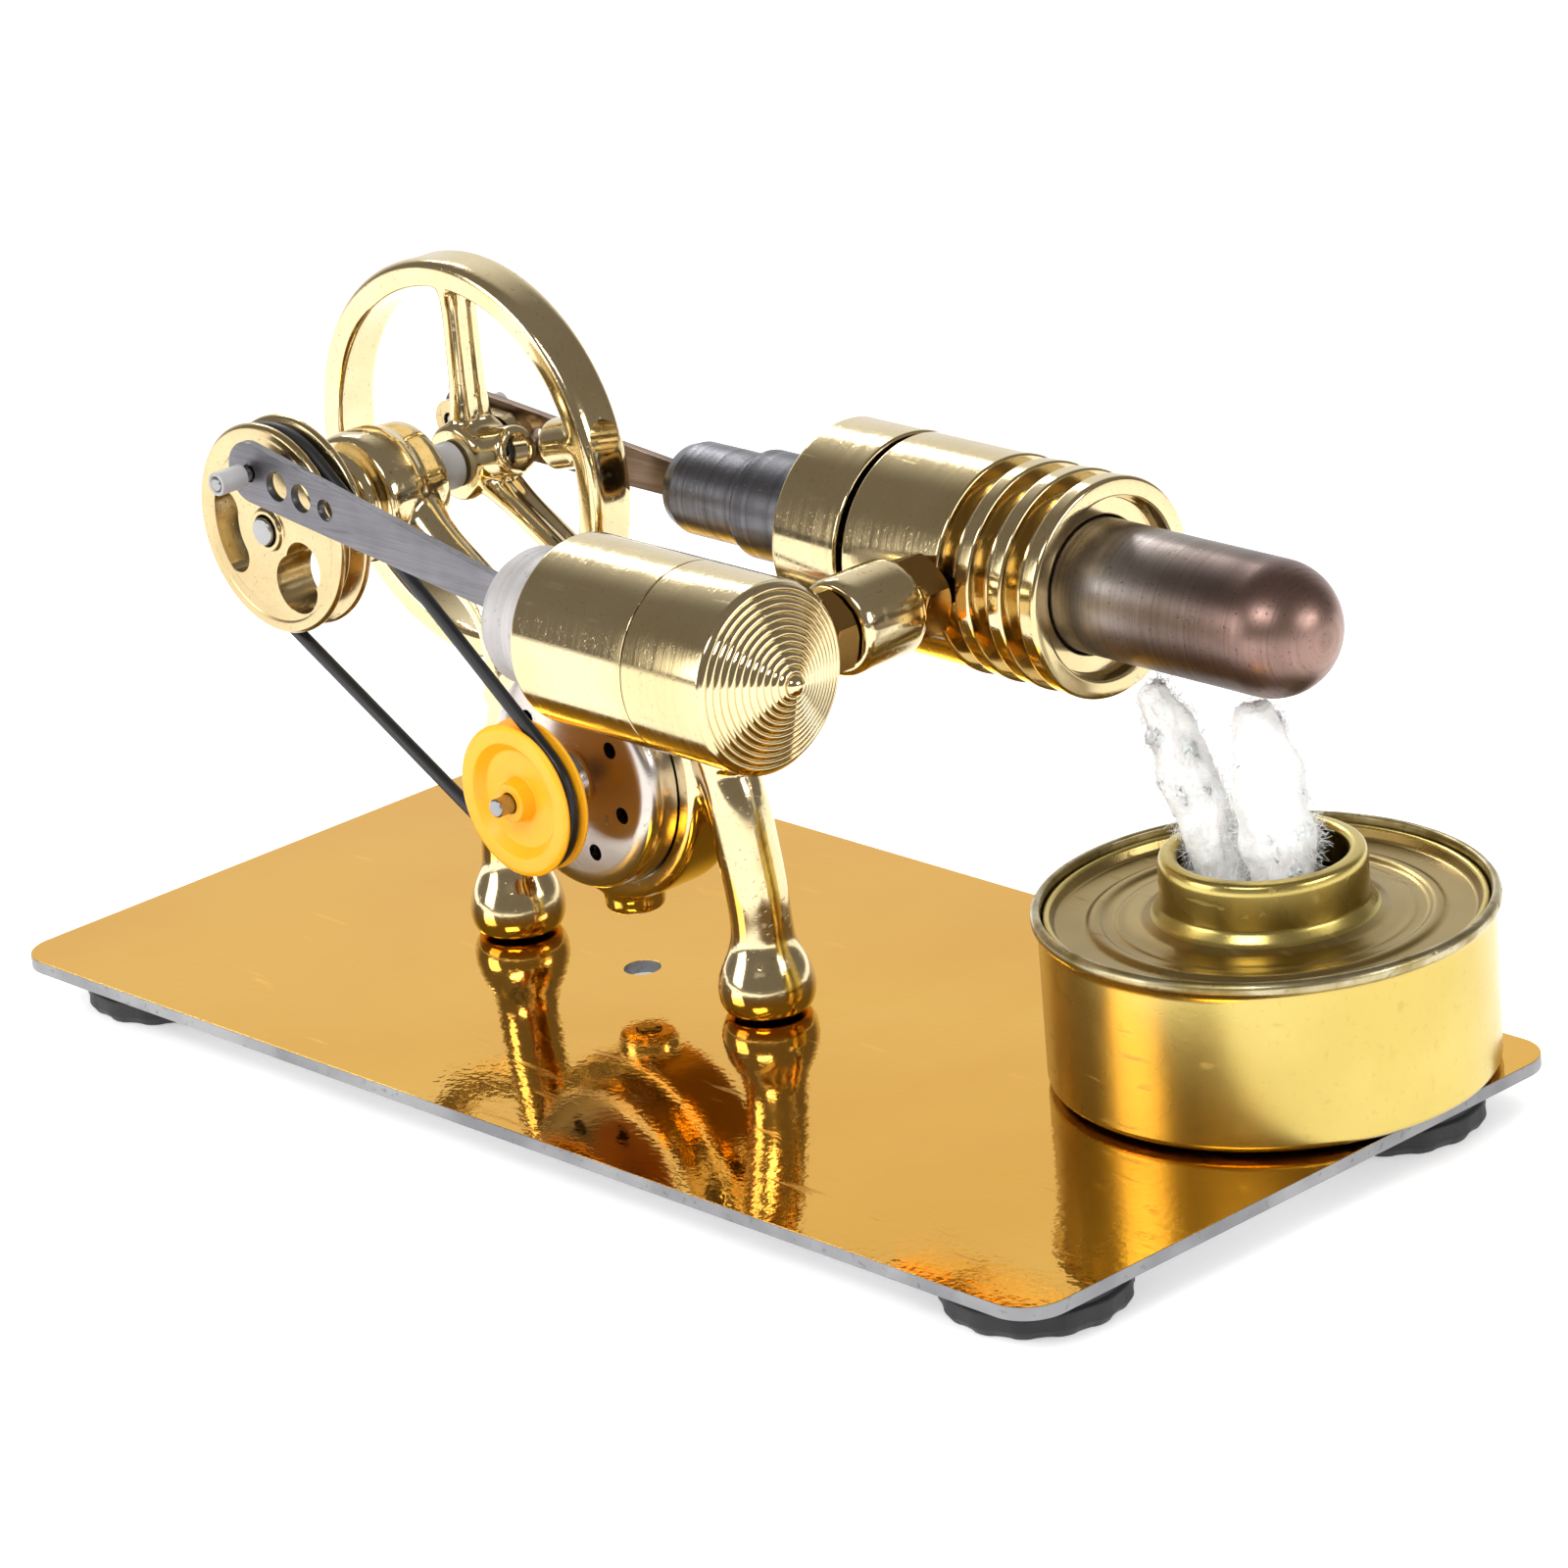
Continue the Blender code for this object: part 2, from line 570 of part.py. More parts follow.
def power_side():
    place = (0, power_y, axis_z)
    wrist = wrist_x(power_pin_angle, power_rod_length)
    connecting_rod("power_con_rod", power_pin_angle, power_rod_length, power_y, steel)
    outer = power_bore - piston_clearance
    at_wrist = (wrist, power_y, axis_z)
    piston = turned("power_piston", [(-1.8, outer - 0.2), (-1.5, outer), (10.6, outer), (11, outer - 0.4)], at_wrist, "x", middle)
    hollow = rod("hollow", at_wrist, "x", -5, 9.4, outer - 1.1, segments=middle)
    pin_hole = rod("pin_hole", at_wrist, "y", -power_bore - 3, power_bore + 3, pin_radius + 0.1, segments=16)
    finish(combine(piston, [hollow, pin_hole], "DIFFERENCE"), steel)
    finish(rod("power_wrist_pin", at_wrist, "y", -outer + 0.4, outer - 0.4, pin_radius, segments=16), steel)
    liner_stop = jacket_end_x - 2.4
    liner = turned("power_cylinder_liner", [(liner_end_x, power_bore), (liner_end_x, liner_radius - 0.7),
                                            (liner_end_x + 1.2, liner_radius), (liner_stop, liner_radius),
                                            (liner_stop, power_bore)], place, "x", middle, closed=True)
    port = rod("port", (sleeve_x, 0, axis_z), "y", power_y, 0, 1.2)
    finish(combine(liner, [port], "DIFFERENCE"), steel)
    inner = liner_radius + run_gap
    seam_back = seam_x + seat_gap / 2
    finish(tube("power_cylinder_jacket", place, "x", jacket_start_x, seam_x - seat_gap / 2, power_radius, inner, 0.3, fine),
           pale_gold)
    rim = power_radius - 0.3
    tip_radius = 1.1
    outline = [(seam_back, power_radius - 0.2), (seam_back + 0.2, power_radius),
               (jacket_end_x - 0.3, power_radius), (jacket_end_x, rim)]
    for index in range(cone_ridges):
        crest = (index + 0.55) / cone_ridges
        dip = (index + 1) / cone_ridges
        outline.append((jacket_end_x + cone_length * crest + 0.14, rim + (tip_radius - rim) * crest))
        outline.append((jacket_end_x + cone_length * dip - 0.06, rim + (tip_radius - rim) * dip))
    tip = outline[-1][0]
    outline += [(tip + 0.5, tip_radius), (tip + 0.85, tip_radius * 0.7), (tip + 1, 0)]
    head = turned("power_cylinder_head", outline, place, "x", fine)
    hollow = rod("hollow", place, "x", seam_x - 2, liner_stop + seat_gap, inner, segments=fine)
    port = rod("port", (sleeve_x, 0, axis_z), "y", power_y, power_y + power_radius + 2, 2 + run_gap)
    finish(combine(head, [hollow, port], "DIFFERENCE"), pale_gold)


def hexagon(across):
    return [(across / math.sqrt(3) * math.cos(math.radians(60 * k + 20)),
             across / math.sqrt(3) * math.sin(math.radians(60 * k + 20))) for k in range(6)]


def connector():
    place = (sleeve_x, 0, axis_z)
    spans = {
        "front_hex_nut": (power_y + power_radius + seat_gap, sleeve_front_y - seat_gap),
        "rear_hex_nut": (sleeve_rear_y + seat_gap, displacer_y - displacer_radius - seat_gap),
    }
    for name, (start, end) in spans.items():
        nut = extruded(name, hexagon(8), -end, -start, place, (math.pi / 2, 0, 0))
        bore = rod("bore", place, "y", start - 3, end + 3, 2 + run_gap)
        finish(combine(nut, [bore], "DIFFERENCE"), brass)
    start = power_y + liner_radius + seat_gap
    end = displacer_y - displacer_radius + 1.6
    finish(tube("transfer_tube", place, "y", start, end, 2, 1.2, segments=16), brass)


def displacer_side():
    place = (0, displacer_y, axis_z)
    wrist = wrist_x(displacer_pin_angle, displacer_rod_length)
    at_wrist = (wrist, displacer_y, axis_z)
    connecting_rod("displacer_con_rod", displacer_pin_angle, displacer_rod_length, displacer_y, dark_steel)
    outer = guide_bore - piston_clearance
    crosshead = rod("displacer_crosshead", at_wrist, "x", -1.6, 6, outer, 0.2, 40)
    hollow = rod("hollow", at_wrist, "x", -5, 3.4, outer - 0.9, segments=middle)
    pin_hole = rod("pin_hole", at_wrist, "y", -guide_bore - 3, guide_bore + 3, pin_radius + 0.1, segments=16)
    stem_hole = rod("stem_hole", at_wrist, "x", 2, 8, 1 + 0.15, segments=20)
    finish(combine(crosshead, [hollow, pin_hole, stem_hole], "DIFFERENCE"), brass)
    finish(rod("displacer_clevis_pin", at_wrist, "y", -outer + 0.3, outer - 0.3, pin_radius, segments=16), steel)
    end = displacer_start_x + displacer_length
    finish(rod("displacer_push_rod", place, "x", wrist + 3.8, displacer_start_x + 1.6, 1, 0.1, 20), steel)
    shell = tube_radius - tube_wall - 0.4
    outline = [(displacer_start_x, shell - 0.3), (displacer_start_x + 0.3, shell), (end - shell, shell)]
    outline += [(end - shell + x, r) for r, x in arc((0, 0), shell, math.pi / 10, math.pi / 2, 4)[:-1]]
    outline.append((end, 0))
    piston = turned("displacer_piston", outline, place, "x", middle)
    pocket = rod("pocket", place, "x", displacer_start_x - 2, displacer_start_x + 2, 1 + 0.15, segments=20)
    finish(combine(piston, [pocket], "DIFFERENCE"), steel)
    guide_stop = collar_end_x - 0.5
    outline = [(guide_end_x, guide_bore), (guide_end_x, guide_radius - 0.45), (guide_end_x + 1.6, guide_radius),
               (guide_step_x, guide_radius), (guide_step_x, guide_step_radius - 0.3), (guide_step_x + 0.3, guide_step_radius),
               (guide_stop, guide_step_radius), (guide_stop, guide_bore)]
    finish(turned("displacer_guide", outline, place, "x", middle, closed=True), steel)
    finish(tube("guide_collar", place, "x", collar_start_x, collar_end_x, displacer_radius,
                guide_step_radius + run_gap, 0.4, fine), pale_gold)
    outline = [(body_start_x, gland_radius), (body_start_x, displacer_radius - 0.4), (body_start_x + 0.4, displacer_radius)]
    for index in range(groove_count):
        start = groove_start_x + groove_pitch * index
        outline += [(start - 0.2, displacer_radius), (start, displacer_radius - 0.25), (start + 0.2, groove_root_radius),
                    (start + groove_width - 0.2, groove_root_radius), (start + groove_width, displacer_radius - 0.25),
                    (start + groove_width + 0.2, displacer_radius)]
    bore = tube_radius + run_gap
    recess = bore + 2.2
    outline += [(body_end_x - 0.8, displacer_radius), (body_end_x, displacer_radius - 0.8), (body_end_x, recess),
                (body_end_x - 2, recess - 0.5), (body_end_x - 2, bore), (tube_start_x - seat_gap, bore),
                (tube_start_x - seat_gap, gland_radius)]
    body = turned("cooling_body", outline, place, "x", fine, closed=True)
    port = rod("port", (sleeve_x, 0, axis_z), "y", displacer_y - displacer_radius - 2, displacer_y, 2 + run_gap)
    finish(combine(body, [port], "DIFFERENCE"), pale_gold)
    finish(tube("rod_gland", place, "x", body_start_x + 0.1, tube_start_x - 2 * seat_gap, gland_radius - run_gap,
                1 + 0.15, 0.2, coarse), brass)
    inside = tube_radius - tube_wall
    outline = [(tube_start_x, inside), (tube_start_x, tube_radius)]
    outline += [(tube_dome_x + x, r) for r, x in arc((0, 0), tube_radius, 0, math.pi / 2, 8)[:-1]]
    outline += [(tube_dome_x + tube_radius, 0), (tube_dome_x + inside, 0)]
    outline += [(tube_dome_x + x, r) for r, x in arc((0, 0), inside, math.pi / 2, 0, 8)[1:]]
    shell = turned("hot_tube", outline, place, "x", middle, closed=True)
    port = rod("port", (sleeve_x, 0, axis_z), "y", displacer_y - tube_radius - 2, displacer_y, 1.2)
    finish(combine(shell, [port], "DIFFERENCE"), dark_steel)


def motor():
    place = (motor_x, 0, motor_z)
    rear = motor_front_y + motor_length
    wall = 0.6
    hole = motor_shaft_radius + run_gap
    can = turned("motor_can", [(motor_front_y - 1, hole), (motor_front_y - 1, 2.9), (motor_front_y - 0.8, 3.1),
                               (motor_front_y, 3.1), (motor_front_y, motor_radius - 1.2),
                               (motor_front_y + 0.35, motor_radius - 0.35), (motor_front_y + 1.2, motor_radius),
                               (rear, motor_radius), (rear, motor_radius - wall),
                               (motor_front_y + 0.8, motor_radius - wall), (motor_front_y + 0.8, hole)],
                 place, "y", fine, closed=True)
    cuts = []
    for index in range(7):
        angle = math.radians(34 - 51.4 * index)
        spot = (motor_x + 8 * math.cos(angle), 0, motor_z + 8 * math.sin(angle))
        cuts.append(rod("vent_%d" % index, spot, "y", motor_front_y - 1, motor_front_y + 2, 0.9, segments=16))
    finish(combine(can, cuts, "DIFFERENCE"), zinc)
    cap = turned("motor_end_cap", [(rear - 1.8, hole), (rear - 1.8, motor_radius - wall - run_gap),
                                   (rear + 0.5, motor_radius - wall - run_gap), (rear + 0.5, 4),
                                   (rear + 1.4, 3.4), (rear + 1.4, hole)], place, "y", middle, closed=True)
    slots = []
    for side in (-1, 1):
        spot = (motor_x + side * 6, 0, motor_z - 4)
        slots.append(extruded("slot", rounded_rectangle(2.6, 1.2, 0.2, 1), -(rear + 3), -(rear - 4), spot, (math.pi / 2, 0, 0)))
    finish(combine(cap, slots, "DIFFERENCE"), black_plastic)
    for name, side in (("left", -1), ("right", 1)):
        spot = (motor_x + side * 6, 0, motor_z - 4)
        blade = extruded("motor_terminal_" + name, rounded_rectangle(2, 0.5, 0.1, 1), -(rear + 3.6), -(rear - 1.4),
                         spot, (math.pi / 2, 0, 0))
        finish(blade, copper)
    shaft_tip = belt_y - pulley_width / 2 - 2.4
    finish(rod("motor_shaft", place, "y", shaft_tip, rear + 1.2, motor_shaft_radius, 0.2), steel)
    finish(tube("motor_rotor", place, "y", motor_front_y + 2, rear - 2.6, 8.2, motor_shaft_radius + 0.1, 0.4, coarse), copper)
    front, back = belt_y - pulley_width / 2, belt_y + pulley_width / 2
    bore = motor_shaft_radius + 0.1
    outline = [(front - 0.5, bore), (front - 0.5, 2), (front + 1.3, 2.3), (front + 1.3, 5.3), (front + 0.2, 6.2),
               (front, pulley_radius - 0.5), (front + 0.3, pulley_radius), (front + 0.6, pulley_radius),
               (belt_y - 0.7, pulley_groove_radius), (belt_y + 0.7, pulley_groove_radius), (back - 0.6, pulley_radius),
               (back - 0.3, pulley_radius), (back, pulley_radius - 0.5), (back, 2.4), (back + 0.4, 2.4), (back + 0.4, bore)]
    finish(turned("motor_pulley", outline, place, "y", middle, closed=True), orange)


def belt():
    # Open belt: two arcs and two straight runs in the plane y = belt_y.
    big = disc_groove_radius + belt_radius + 0.12
    small = pulley_groove_radius + belt_radius + 0.12
    start = Vector((crank_x, axis_z))
    end = Vector((motor_x, motor_z))
    gap = end - start
    heading = math.atan2(gap.y, gap.x)
    lean = math.acos((big - small) / gap.length)
    points = []
    for centre, radius, first, last, steps in ((start, big, heading + lean, heading + 2 * math.pi - lean, 20),
                                               (end, small, heading - lean, heading + lean, 14)):
        points += arc(centre, radius, first, last, steps)
        ahead = (end, small, heading - lean) if centre is start else (start, big, heading + lean)
        leave = Vector(points[-1])
        arrive = ahead[0] + ahead[1] * Vector((math.cos(ahead[2]), math.sin(ahead[2])))
        points += [tuple(leave.lerp(arrive, share)) for share in (0.33, 0.67)]
    path = [Vector((x, belt_y, z)) for x, z in points]
    finish(swept("drive_belt", path, [belt_radius] * len(path), sides=8, closed=True), rubber)


def burner():
    place = (burner_x, burner_y, burner_base)
    inner = burner_radius - burner_wall
    top = burner_height
    rim = burner_rim_radius
    outline = [(0, burner_radius - 0.6), (0.6, burner_radius), (top - 1.9, burner_radius), (top - 1.3, rim - 0.1),
               (top - 0.7, rim), (top - 0.2, rim - 0.15), (top, rim - 0.5), (top - 0.1, inner), (0.9, inner),
               (0.5, inner - 0.5), (0.5, 0)]
    body = turned("burner_can", [(0, 0), *outline], place, "z", fine + 4)
    finish(body, tin)
    deck = 16
    thick = 0.4
    top = neck_top - seat_gap
    wall = 0.4
    outer = inner - run_gap
    neck = neck_radius
    outline = [(deck + 1.2, outer), (deck + 1.2, outer - 0.6), (deck + 0.1, outer - 1.1), (deck, 17.6), (deck + 0.35, 17.2),
               (deck + 0.35, 16.2), (deck, 15.8), (deck + 0.1, 13.6), (deck + 0.5, neck + 1.4), (deck + 1.4, neck + 0.3),
               (deck + 2, neck), (top - 0.8, neck), (top - 0.2, neck - 0.25), (top, neck - 0.8), (top, neck_opening + 0.5),
               (top - 0.3, neck_opening), (top - 1, neck_opening), (top - 1, neck_opening + 0.4),
               (top - 0.9, neck - wall), (deck + 1.9, neck - wall), (deck + 0.9, neck), (deck + 0.1, neck + 1.3),
               (deck - 0.3, 13.6), (deck - thick, 15.8), (deck - 0.05, 16.2), (deck - 0.05, 17.2),
               (deck - thick, 17.6), (deck - thick, outer - 0.8), (deck - thick + 0.3, outer)]
    finish(turned("burner_lid", outline, place, "z", fine + 4, closed=True), tin)
    # The wicks rise through the neck and lean out above it, to just under the hot tube
    mouth = neck_top - 0.6
    rise = axis_z - tube_radius - burner_base - wick_gap - mouth
    lean = rise / 15.4
    routes = {
        "burner_wick_left": [(-3.6, -0.6, 2, 1.9), (-3.8, -0.6, 10, 1.9), (-5.1, -0.8, 18, 2), (-5.8, -0.8, mouth, 2.2),
                             (-5.8 - 2.3 * lean, -0.9, mouth + rise * 0.338, 2.3),
                             (-5.8 - 5.1 * lean, -1, mouth + rise * 0.675, 2.3),
                             (-5.8 - 7.1 * lean, -1.2, mouth + rise * 0.96, 2.1)],
        "burner_wick_right": [(2.2, 0.6, 2, 2), (2.2, 0.4, 10, 2), (1.6, -0.4, 18, 2.4), (1.2, -0.4, mouth + rise * 0.156, 3),
                              (1, -0.2, mouth + rise * 0.545, 3), (0.8, -0.2, mouth + rise, 2.5)],
    }
    for name, route in routes.items():
        path = smooth_path(route, 2)
        points = [Vector((burner_x + p[0], burner_y + p[1], burner_base + p[2])) for p in path]
        finish(swept(name, points, [p[3] for p in path], sides=10), cotton)


def build():
    for item in list(bpy.data.objects):
        bpy.data.objects.remove(item)
    base()
    engine_frame()
    crankshaft()
    flywheel()
    crank_arm()
    power_side()
    connector()
    displacer_side()
    motor()
    belt()
    burner()


build()
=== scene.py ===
import math

import bmesh
import bpy
from mathutils import Matrix, Vector, noise


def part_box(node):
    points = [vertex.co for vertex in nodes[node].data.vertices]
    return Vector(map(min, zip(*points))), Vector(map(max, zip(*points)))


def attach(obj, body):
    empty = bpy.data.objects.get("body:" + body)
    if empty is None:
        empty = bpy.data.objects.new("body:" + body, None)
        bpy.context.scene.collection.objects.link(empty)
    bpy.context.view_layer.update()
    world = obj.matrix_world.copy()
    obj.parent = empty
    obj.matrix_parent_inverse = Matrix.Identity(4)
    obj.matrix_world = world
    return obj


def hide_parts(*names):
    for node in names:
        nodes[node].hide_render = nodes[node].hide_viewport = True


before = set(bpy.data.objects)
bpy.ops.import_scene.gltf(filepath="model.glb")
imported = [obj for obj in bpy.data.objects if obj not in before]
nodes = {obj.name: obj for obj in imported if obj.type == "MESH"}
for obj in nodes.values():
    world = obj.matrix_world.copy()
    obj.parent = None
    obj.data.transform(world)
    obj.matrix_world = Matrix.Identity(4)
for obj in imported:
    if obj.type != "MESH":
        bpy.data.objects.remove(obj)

mm = 0.001
mergeDistance = 1e-7
axisRadius = 1e-5
cornerShare = 0.48
scratchDepth = 0.3
through = 20
cloudScale, pitScale = 90, 2600
scene = bpy.context.scene
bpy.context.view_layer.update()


def span(node):
    low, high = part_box(node)
    return Vector(low) / mm, Vector(high) / mm


def middle(node):
    low, high = span(node)
    return (low + high) / 2


# shared sizes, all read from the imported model, in millimetres
crankCentre = middle("crank_disc")
discLow, discHigh = span("crank_disc")
powerMid = middle("power_cylinder_jacket")
coldMid = middle("guide_collar")
motorMid = middle("motor_can")
wheelMid = middle("flywheel")
canMid = middle("burner_can")
plateLow, plateHigh = span("base_plate")


def colourOf(hexText):
    values = [int(hexText[i:i + 2], 16) / 255 for i in (0, 2, 4)]
    return tuple((v / 12.92 if v <= 0.04045 else ((v + 0.055) / 1.055) ** 2.4) for v in values) + (1,)


def newGroup(name, inputs, outputs):
    group = bpy.data.node_groups.new(name, "ShaderNodeTree")
    for label, kind, value in inputs:
        made = group.interface.new_socket(label, in_out="INPUT", socket_type=kind)
        if value is not None:
            made.default_value = value
    for label, kind in outputs:
        group.interface.new_socket(label, in_out="OUTPUT", socket_type=kind)
    return group, group.nodes.new("NodeGroupInput"), group.nodes.new("NodeGroupOutput")


def mathNode(tree, kind, a, b=None, clamp=False):
    node = tree.nodes.new("ShaderNodeMath")
    node.operation = kind
    node.use_clamp = clamp
    for slot, value in zip(node.inputs, (a, b)):
        if value is None:
            continue
        if isinstance(value, (int, float)):
            slot.default_value = value
        else:
            tree.links.new(value, slot)
    return node.outputs[0]


def addScaled(tree, base, value, strength, clamp=False):
    return mathNode(tree, "ADD", base, mathNode(tree, "MULTIPLY", value, strength), clamp)


def mixColour(tree, share, first, second, blend="MIX"):
    node = tree.nodes.new("ShaderNodeMix")
    node.data_type = "RGBA"
    node.blend_type = blend
    for slot, value in ((node.inputs[0], share), (node.inputs[6], first), (node.inputs[7], second)):
        if isinstance(value, (int, float, tuple)):
            slot.default_value = value
        else:
            tree.links.new(value, slot)
    return node.outputs[2]


def newNode(tree, kind, values):
    node = tree.nodes.new(kind)
    for label, value in values.items():
        node.inputs[label].default_value = value
    return node


def noiseNode(tree, where, scale, detail=3, rough=0.55):
    node = newNode(tree, "ShaderNodeTexNoise", {"Scale": scale, "Detail": detail, "Roughness": rough})
    tree.links.new(where, node.inputs["Vector"])
    return node.outputs["Fac"]


def remap(tree, value, low, high, outLow, outHigh):
    node = newNode(tree, "ShaderNodeMapRange", {"From Min": low, "From Max": high, "To Min": outLow,
            "To Max": outHigh})
    tree.links.new(value, node.inputs["Value"])
    return node.outputs["Result"]


def buildSurfaceWear():
    # cloudy tone, fine pits and small scratches, shared by all hard finishes
    group, inputs, outputs = newGroup("surfaceWear", [
        ("Vector", "NodeSocketVector", None), ("Cloud Scale", "NodeSocketFloat", 90.0),
        ("Pit Scale", "NodeSocketFloat", 2600.0)],
        [(label, "NodeSocketFloat") for label in ("Cloud", "Pits", "Scratches")])
    cloud = newNode(group, "ShaderNodeTexNoise", {"Detail": 4})
    pits = newNode(group, "ShaderNodeTexNoise", {"Detail": 2})
    scratch = newNode(group, "ShaderNodeTexNoise", {"Scale": 700, "Detail": 2})
    mapping = newNode(group, "ShaderNodeMapping", {"Scale": (0.12, 1, 1), "Rotation": (0.3, 0.2, 0.5)})
    link = group.links.new
    for node in (cloud, pits, mapping):
        link(inputs.outputs["Vector"], node.inputs["Vector"])
    link(mapping.outputs["Vector"], scratch.inputs["Vector"])
    link(inputs.outputs["Cloud Scale"], cloud.inputs["Scale"])
    link(inputs.outputs["Pit Scale"], pits.inputs["Scale"])
    link(cloud.outputs["Fac"], outputs.inputs["Cloud"])
    link(remap(group, pits.outputs["Fac"], 0.62, 0.75, 0, 1), outputs.inputs["Pits"])
    link(remap(group, scratch.outputs["Fac"], 0.66, 0.72, 0, 1), outputs.inputs["Scratches"])
    return group


def buildTurnedLines():
    # fine rings left by a lathe, running round one axis
    group, inputs, outputs = newGroup("turnedLines", [
        ("Vector", "NodeSocketVector", None), ("Spacing", "NodeSocketFloat", 5000.0)],
        [("Lines", "NodeSocketFloat")])
    lines = newNode(group, "ShaderNodeTexNoise", {"Detail": 3, "Roughness": 0.7})
    group.links.new(inputs.outputs["Vector"], lines.inputs["Vector"])
    group.links.new(inputs.outputs["Spacing"], lines.inputs["Scale"])
    group.links.new(lines.outputs["Fac"], outputs.inputs["Lines"])
    return group


surfaceWear = buildSurfaceWear()
turnedLines = buildTurnedLines()
lineStretch = {"x": (1, 0.012, 0.012), "y": (0.012, 1, 0.012), "z": (0.012, 0.012, 1), "along": (0.02, 1, 1)}


def finishOf(name, spec):
    made = bpy.data.materials.new(name)
    made.use_nodes = True
    tree = made.node_tree
    shader = tree.nodes["Principled BSDF"]
    shader.inputs["Metallic"].default_value = spec.get("metal", 0)
    for label, value in spec.get("constants", {}).items():
        shader.inputs[label].default_value = value
    where = tree.nodes.new("ShaderNodeTexCoord").outputs["Object"]
    wear = tree.nodes.new("ShaderNodeGroup")
    wear.node_tree = surfaceWear
    wear.inputs["Cloud Scale"].default_value = spec.get("cloudScale", cloudScale)
    wear.inputs["Pit Scale"].default_value = spec.get("pitScale", pitScale)
    tree.links.new(where, wear.inputs["Vector"])
    cloud = remap(tree, wear.outputs["Cloud"], 0.35, 0.65, 0, 1)
    colour = mixColour(tree, cloud, colourOf(spec["colours"][0]), colourOf(spec["colours"][1]))
    base, swing = spec["rough"]
    rough = remap(tree, wear.outputs["Cloud"], 0.3, 0.7, base - swing, base + swing)
    height = mathNode(tree, "MULTIPLY", wear.outputs["Pits"], -spec.get("pits", 0.2))
    if spec.get("pitColour"):
        share = mathNode(tree, "MULTIPLY", wear.outputs["Pits"], spec.get("pitShare", 0.5))
        colour = mixColour(tree, share, colour, colourOf(spec["pitColour"]))
    if spec.get("scratch"):
        share = mathNode(tree, "MULTIPLY", wear.outputs["Scratches"], spec["scratch"])
        rough = addScaled(tree, rough, share, scratchDepth, True)
        height = mathNode(tree, "SUBTRACT", height, mathNode(tree, "MULTIPLY", share, scratchDepth))
    if spec.get("lines"):
        axis, spacing, strength = spec["lines"]
        turn = tree.nodes.new("ShaderNodeGroup")
        turn.node_tree = turnedLines
        turn.inputs["Spacing"].default_value = spacing
        mapping = tree.nodes.new("ShaderNodeMapping")
        mapping.inputs["Scale"].default_value = lineStretch[axis]
        if spec.get("lineTurn"):
            mapping.inputs["Rotation"].default_value = spec["lineTurn"]
        tree.links.new(where, mapping.inputs["Vector"])
        tree.links.new(mapping.outputs["Vector"], turn.inputs["Vector"])
        lines = turn.outputs["Lines"]
        height = addScaled(tree, height, lines, strength)
        rough = mathNode(tree, "ADD", rough, remap(tree, lines, 0.3, 0.7, -0.05, 0.05), True)
        shade = remap(tree, lines, 0.3, 0.7, 0, spec.get("lineShade", 0.25))
        colour = mixColour(tree, shade, colour, (0.02, 0.02, 0.02, 1))
    if spec.get("wave"):
        scale, strength = spec["wave"]
        height = mathNode(tree, "ADD", height, mathNode(tree, "MULTIPLY", noiseNode(tree, where, scale, 2),
                strength))
    if spec.get("ripple"):
        scale, strength = spec["ripple"]
        ripple = noiseNode(tree, where, scale, 1, 0.5)
        height = addScaled(tree, height, ripple, strength)
    if spec.get("tint"):
        # colour that changes along one axis, such as heat tint
        axis, stops = spec["tint"]
        separate = tree.nodes.new("ShaderNodeSeparateXYZ")
        tree.links.new(where, separate.inputs[0])
        blur = remap(tree, noiseNode(tree, where, 120, 3), 0.3, 0.7, -0.0025, 0.0025)
        place = mathNode(tree, "ADD", separate.outputs[axis.upper()], blur)
        first, last = stops[0][0] * mm, stops[-1][0] * mm
        ramp = tree.nodes.new("ShaderNodeValToRGB")
        tree.links.new(remap(tree, place, first, last, 0, 1), ramp.inputs["Fac"])
        while len(ramp.color_ramp.elements) < len(stops):
            ramp.color_ramp.elements.new(0.5)
        for element, (at, text) in zip(ramp.color_ramp.elements, stops):
            element.position = (at * mm - first) / (last - first)
            element.color = colourOf(text)
        colour = mixColour(tree, 1.0, colour, ramp.outputs["Color"], "MULTIPLY")
    bump = tree.nodes.new("ShaderNodeBump")
    bump.inputs["Strength"].default_value = spec.get("bump", 0.3)
    bump.inputs["Distance"].default_value = spec.get("bumpDistance", 0.00005)
    tree.links.new(height, bump.inputs["Height"])
    tree.links.new(bump.outputs["Normal"], shader.inputs["Normal"])
    tree.links.new(colour, shader.inputs["Base Color"])
    tree.links.new(rough, shader.inputs["Roughness"])
    made.diffuse_color = colourOf(spec["colours"][0])
    return made


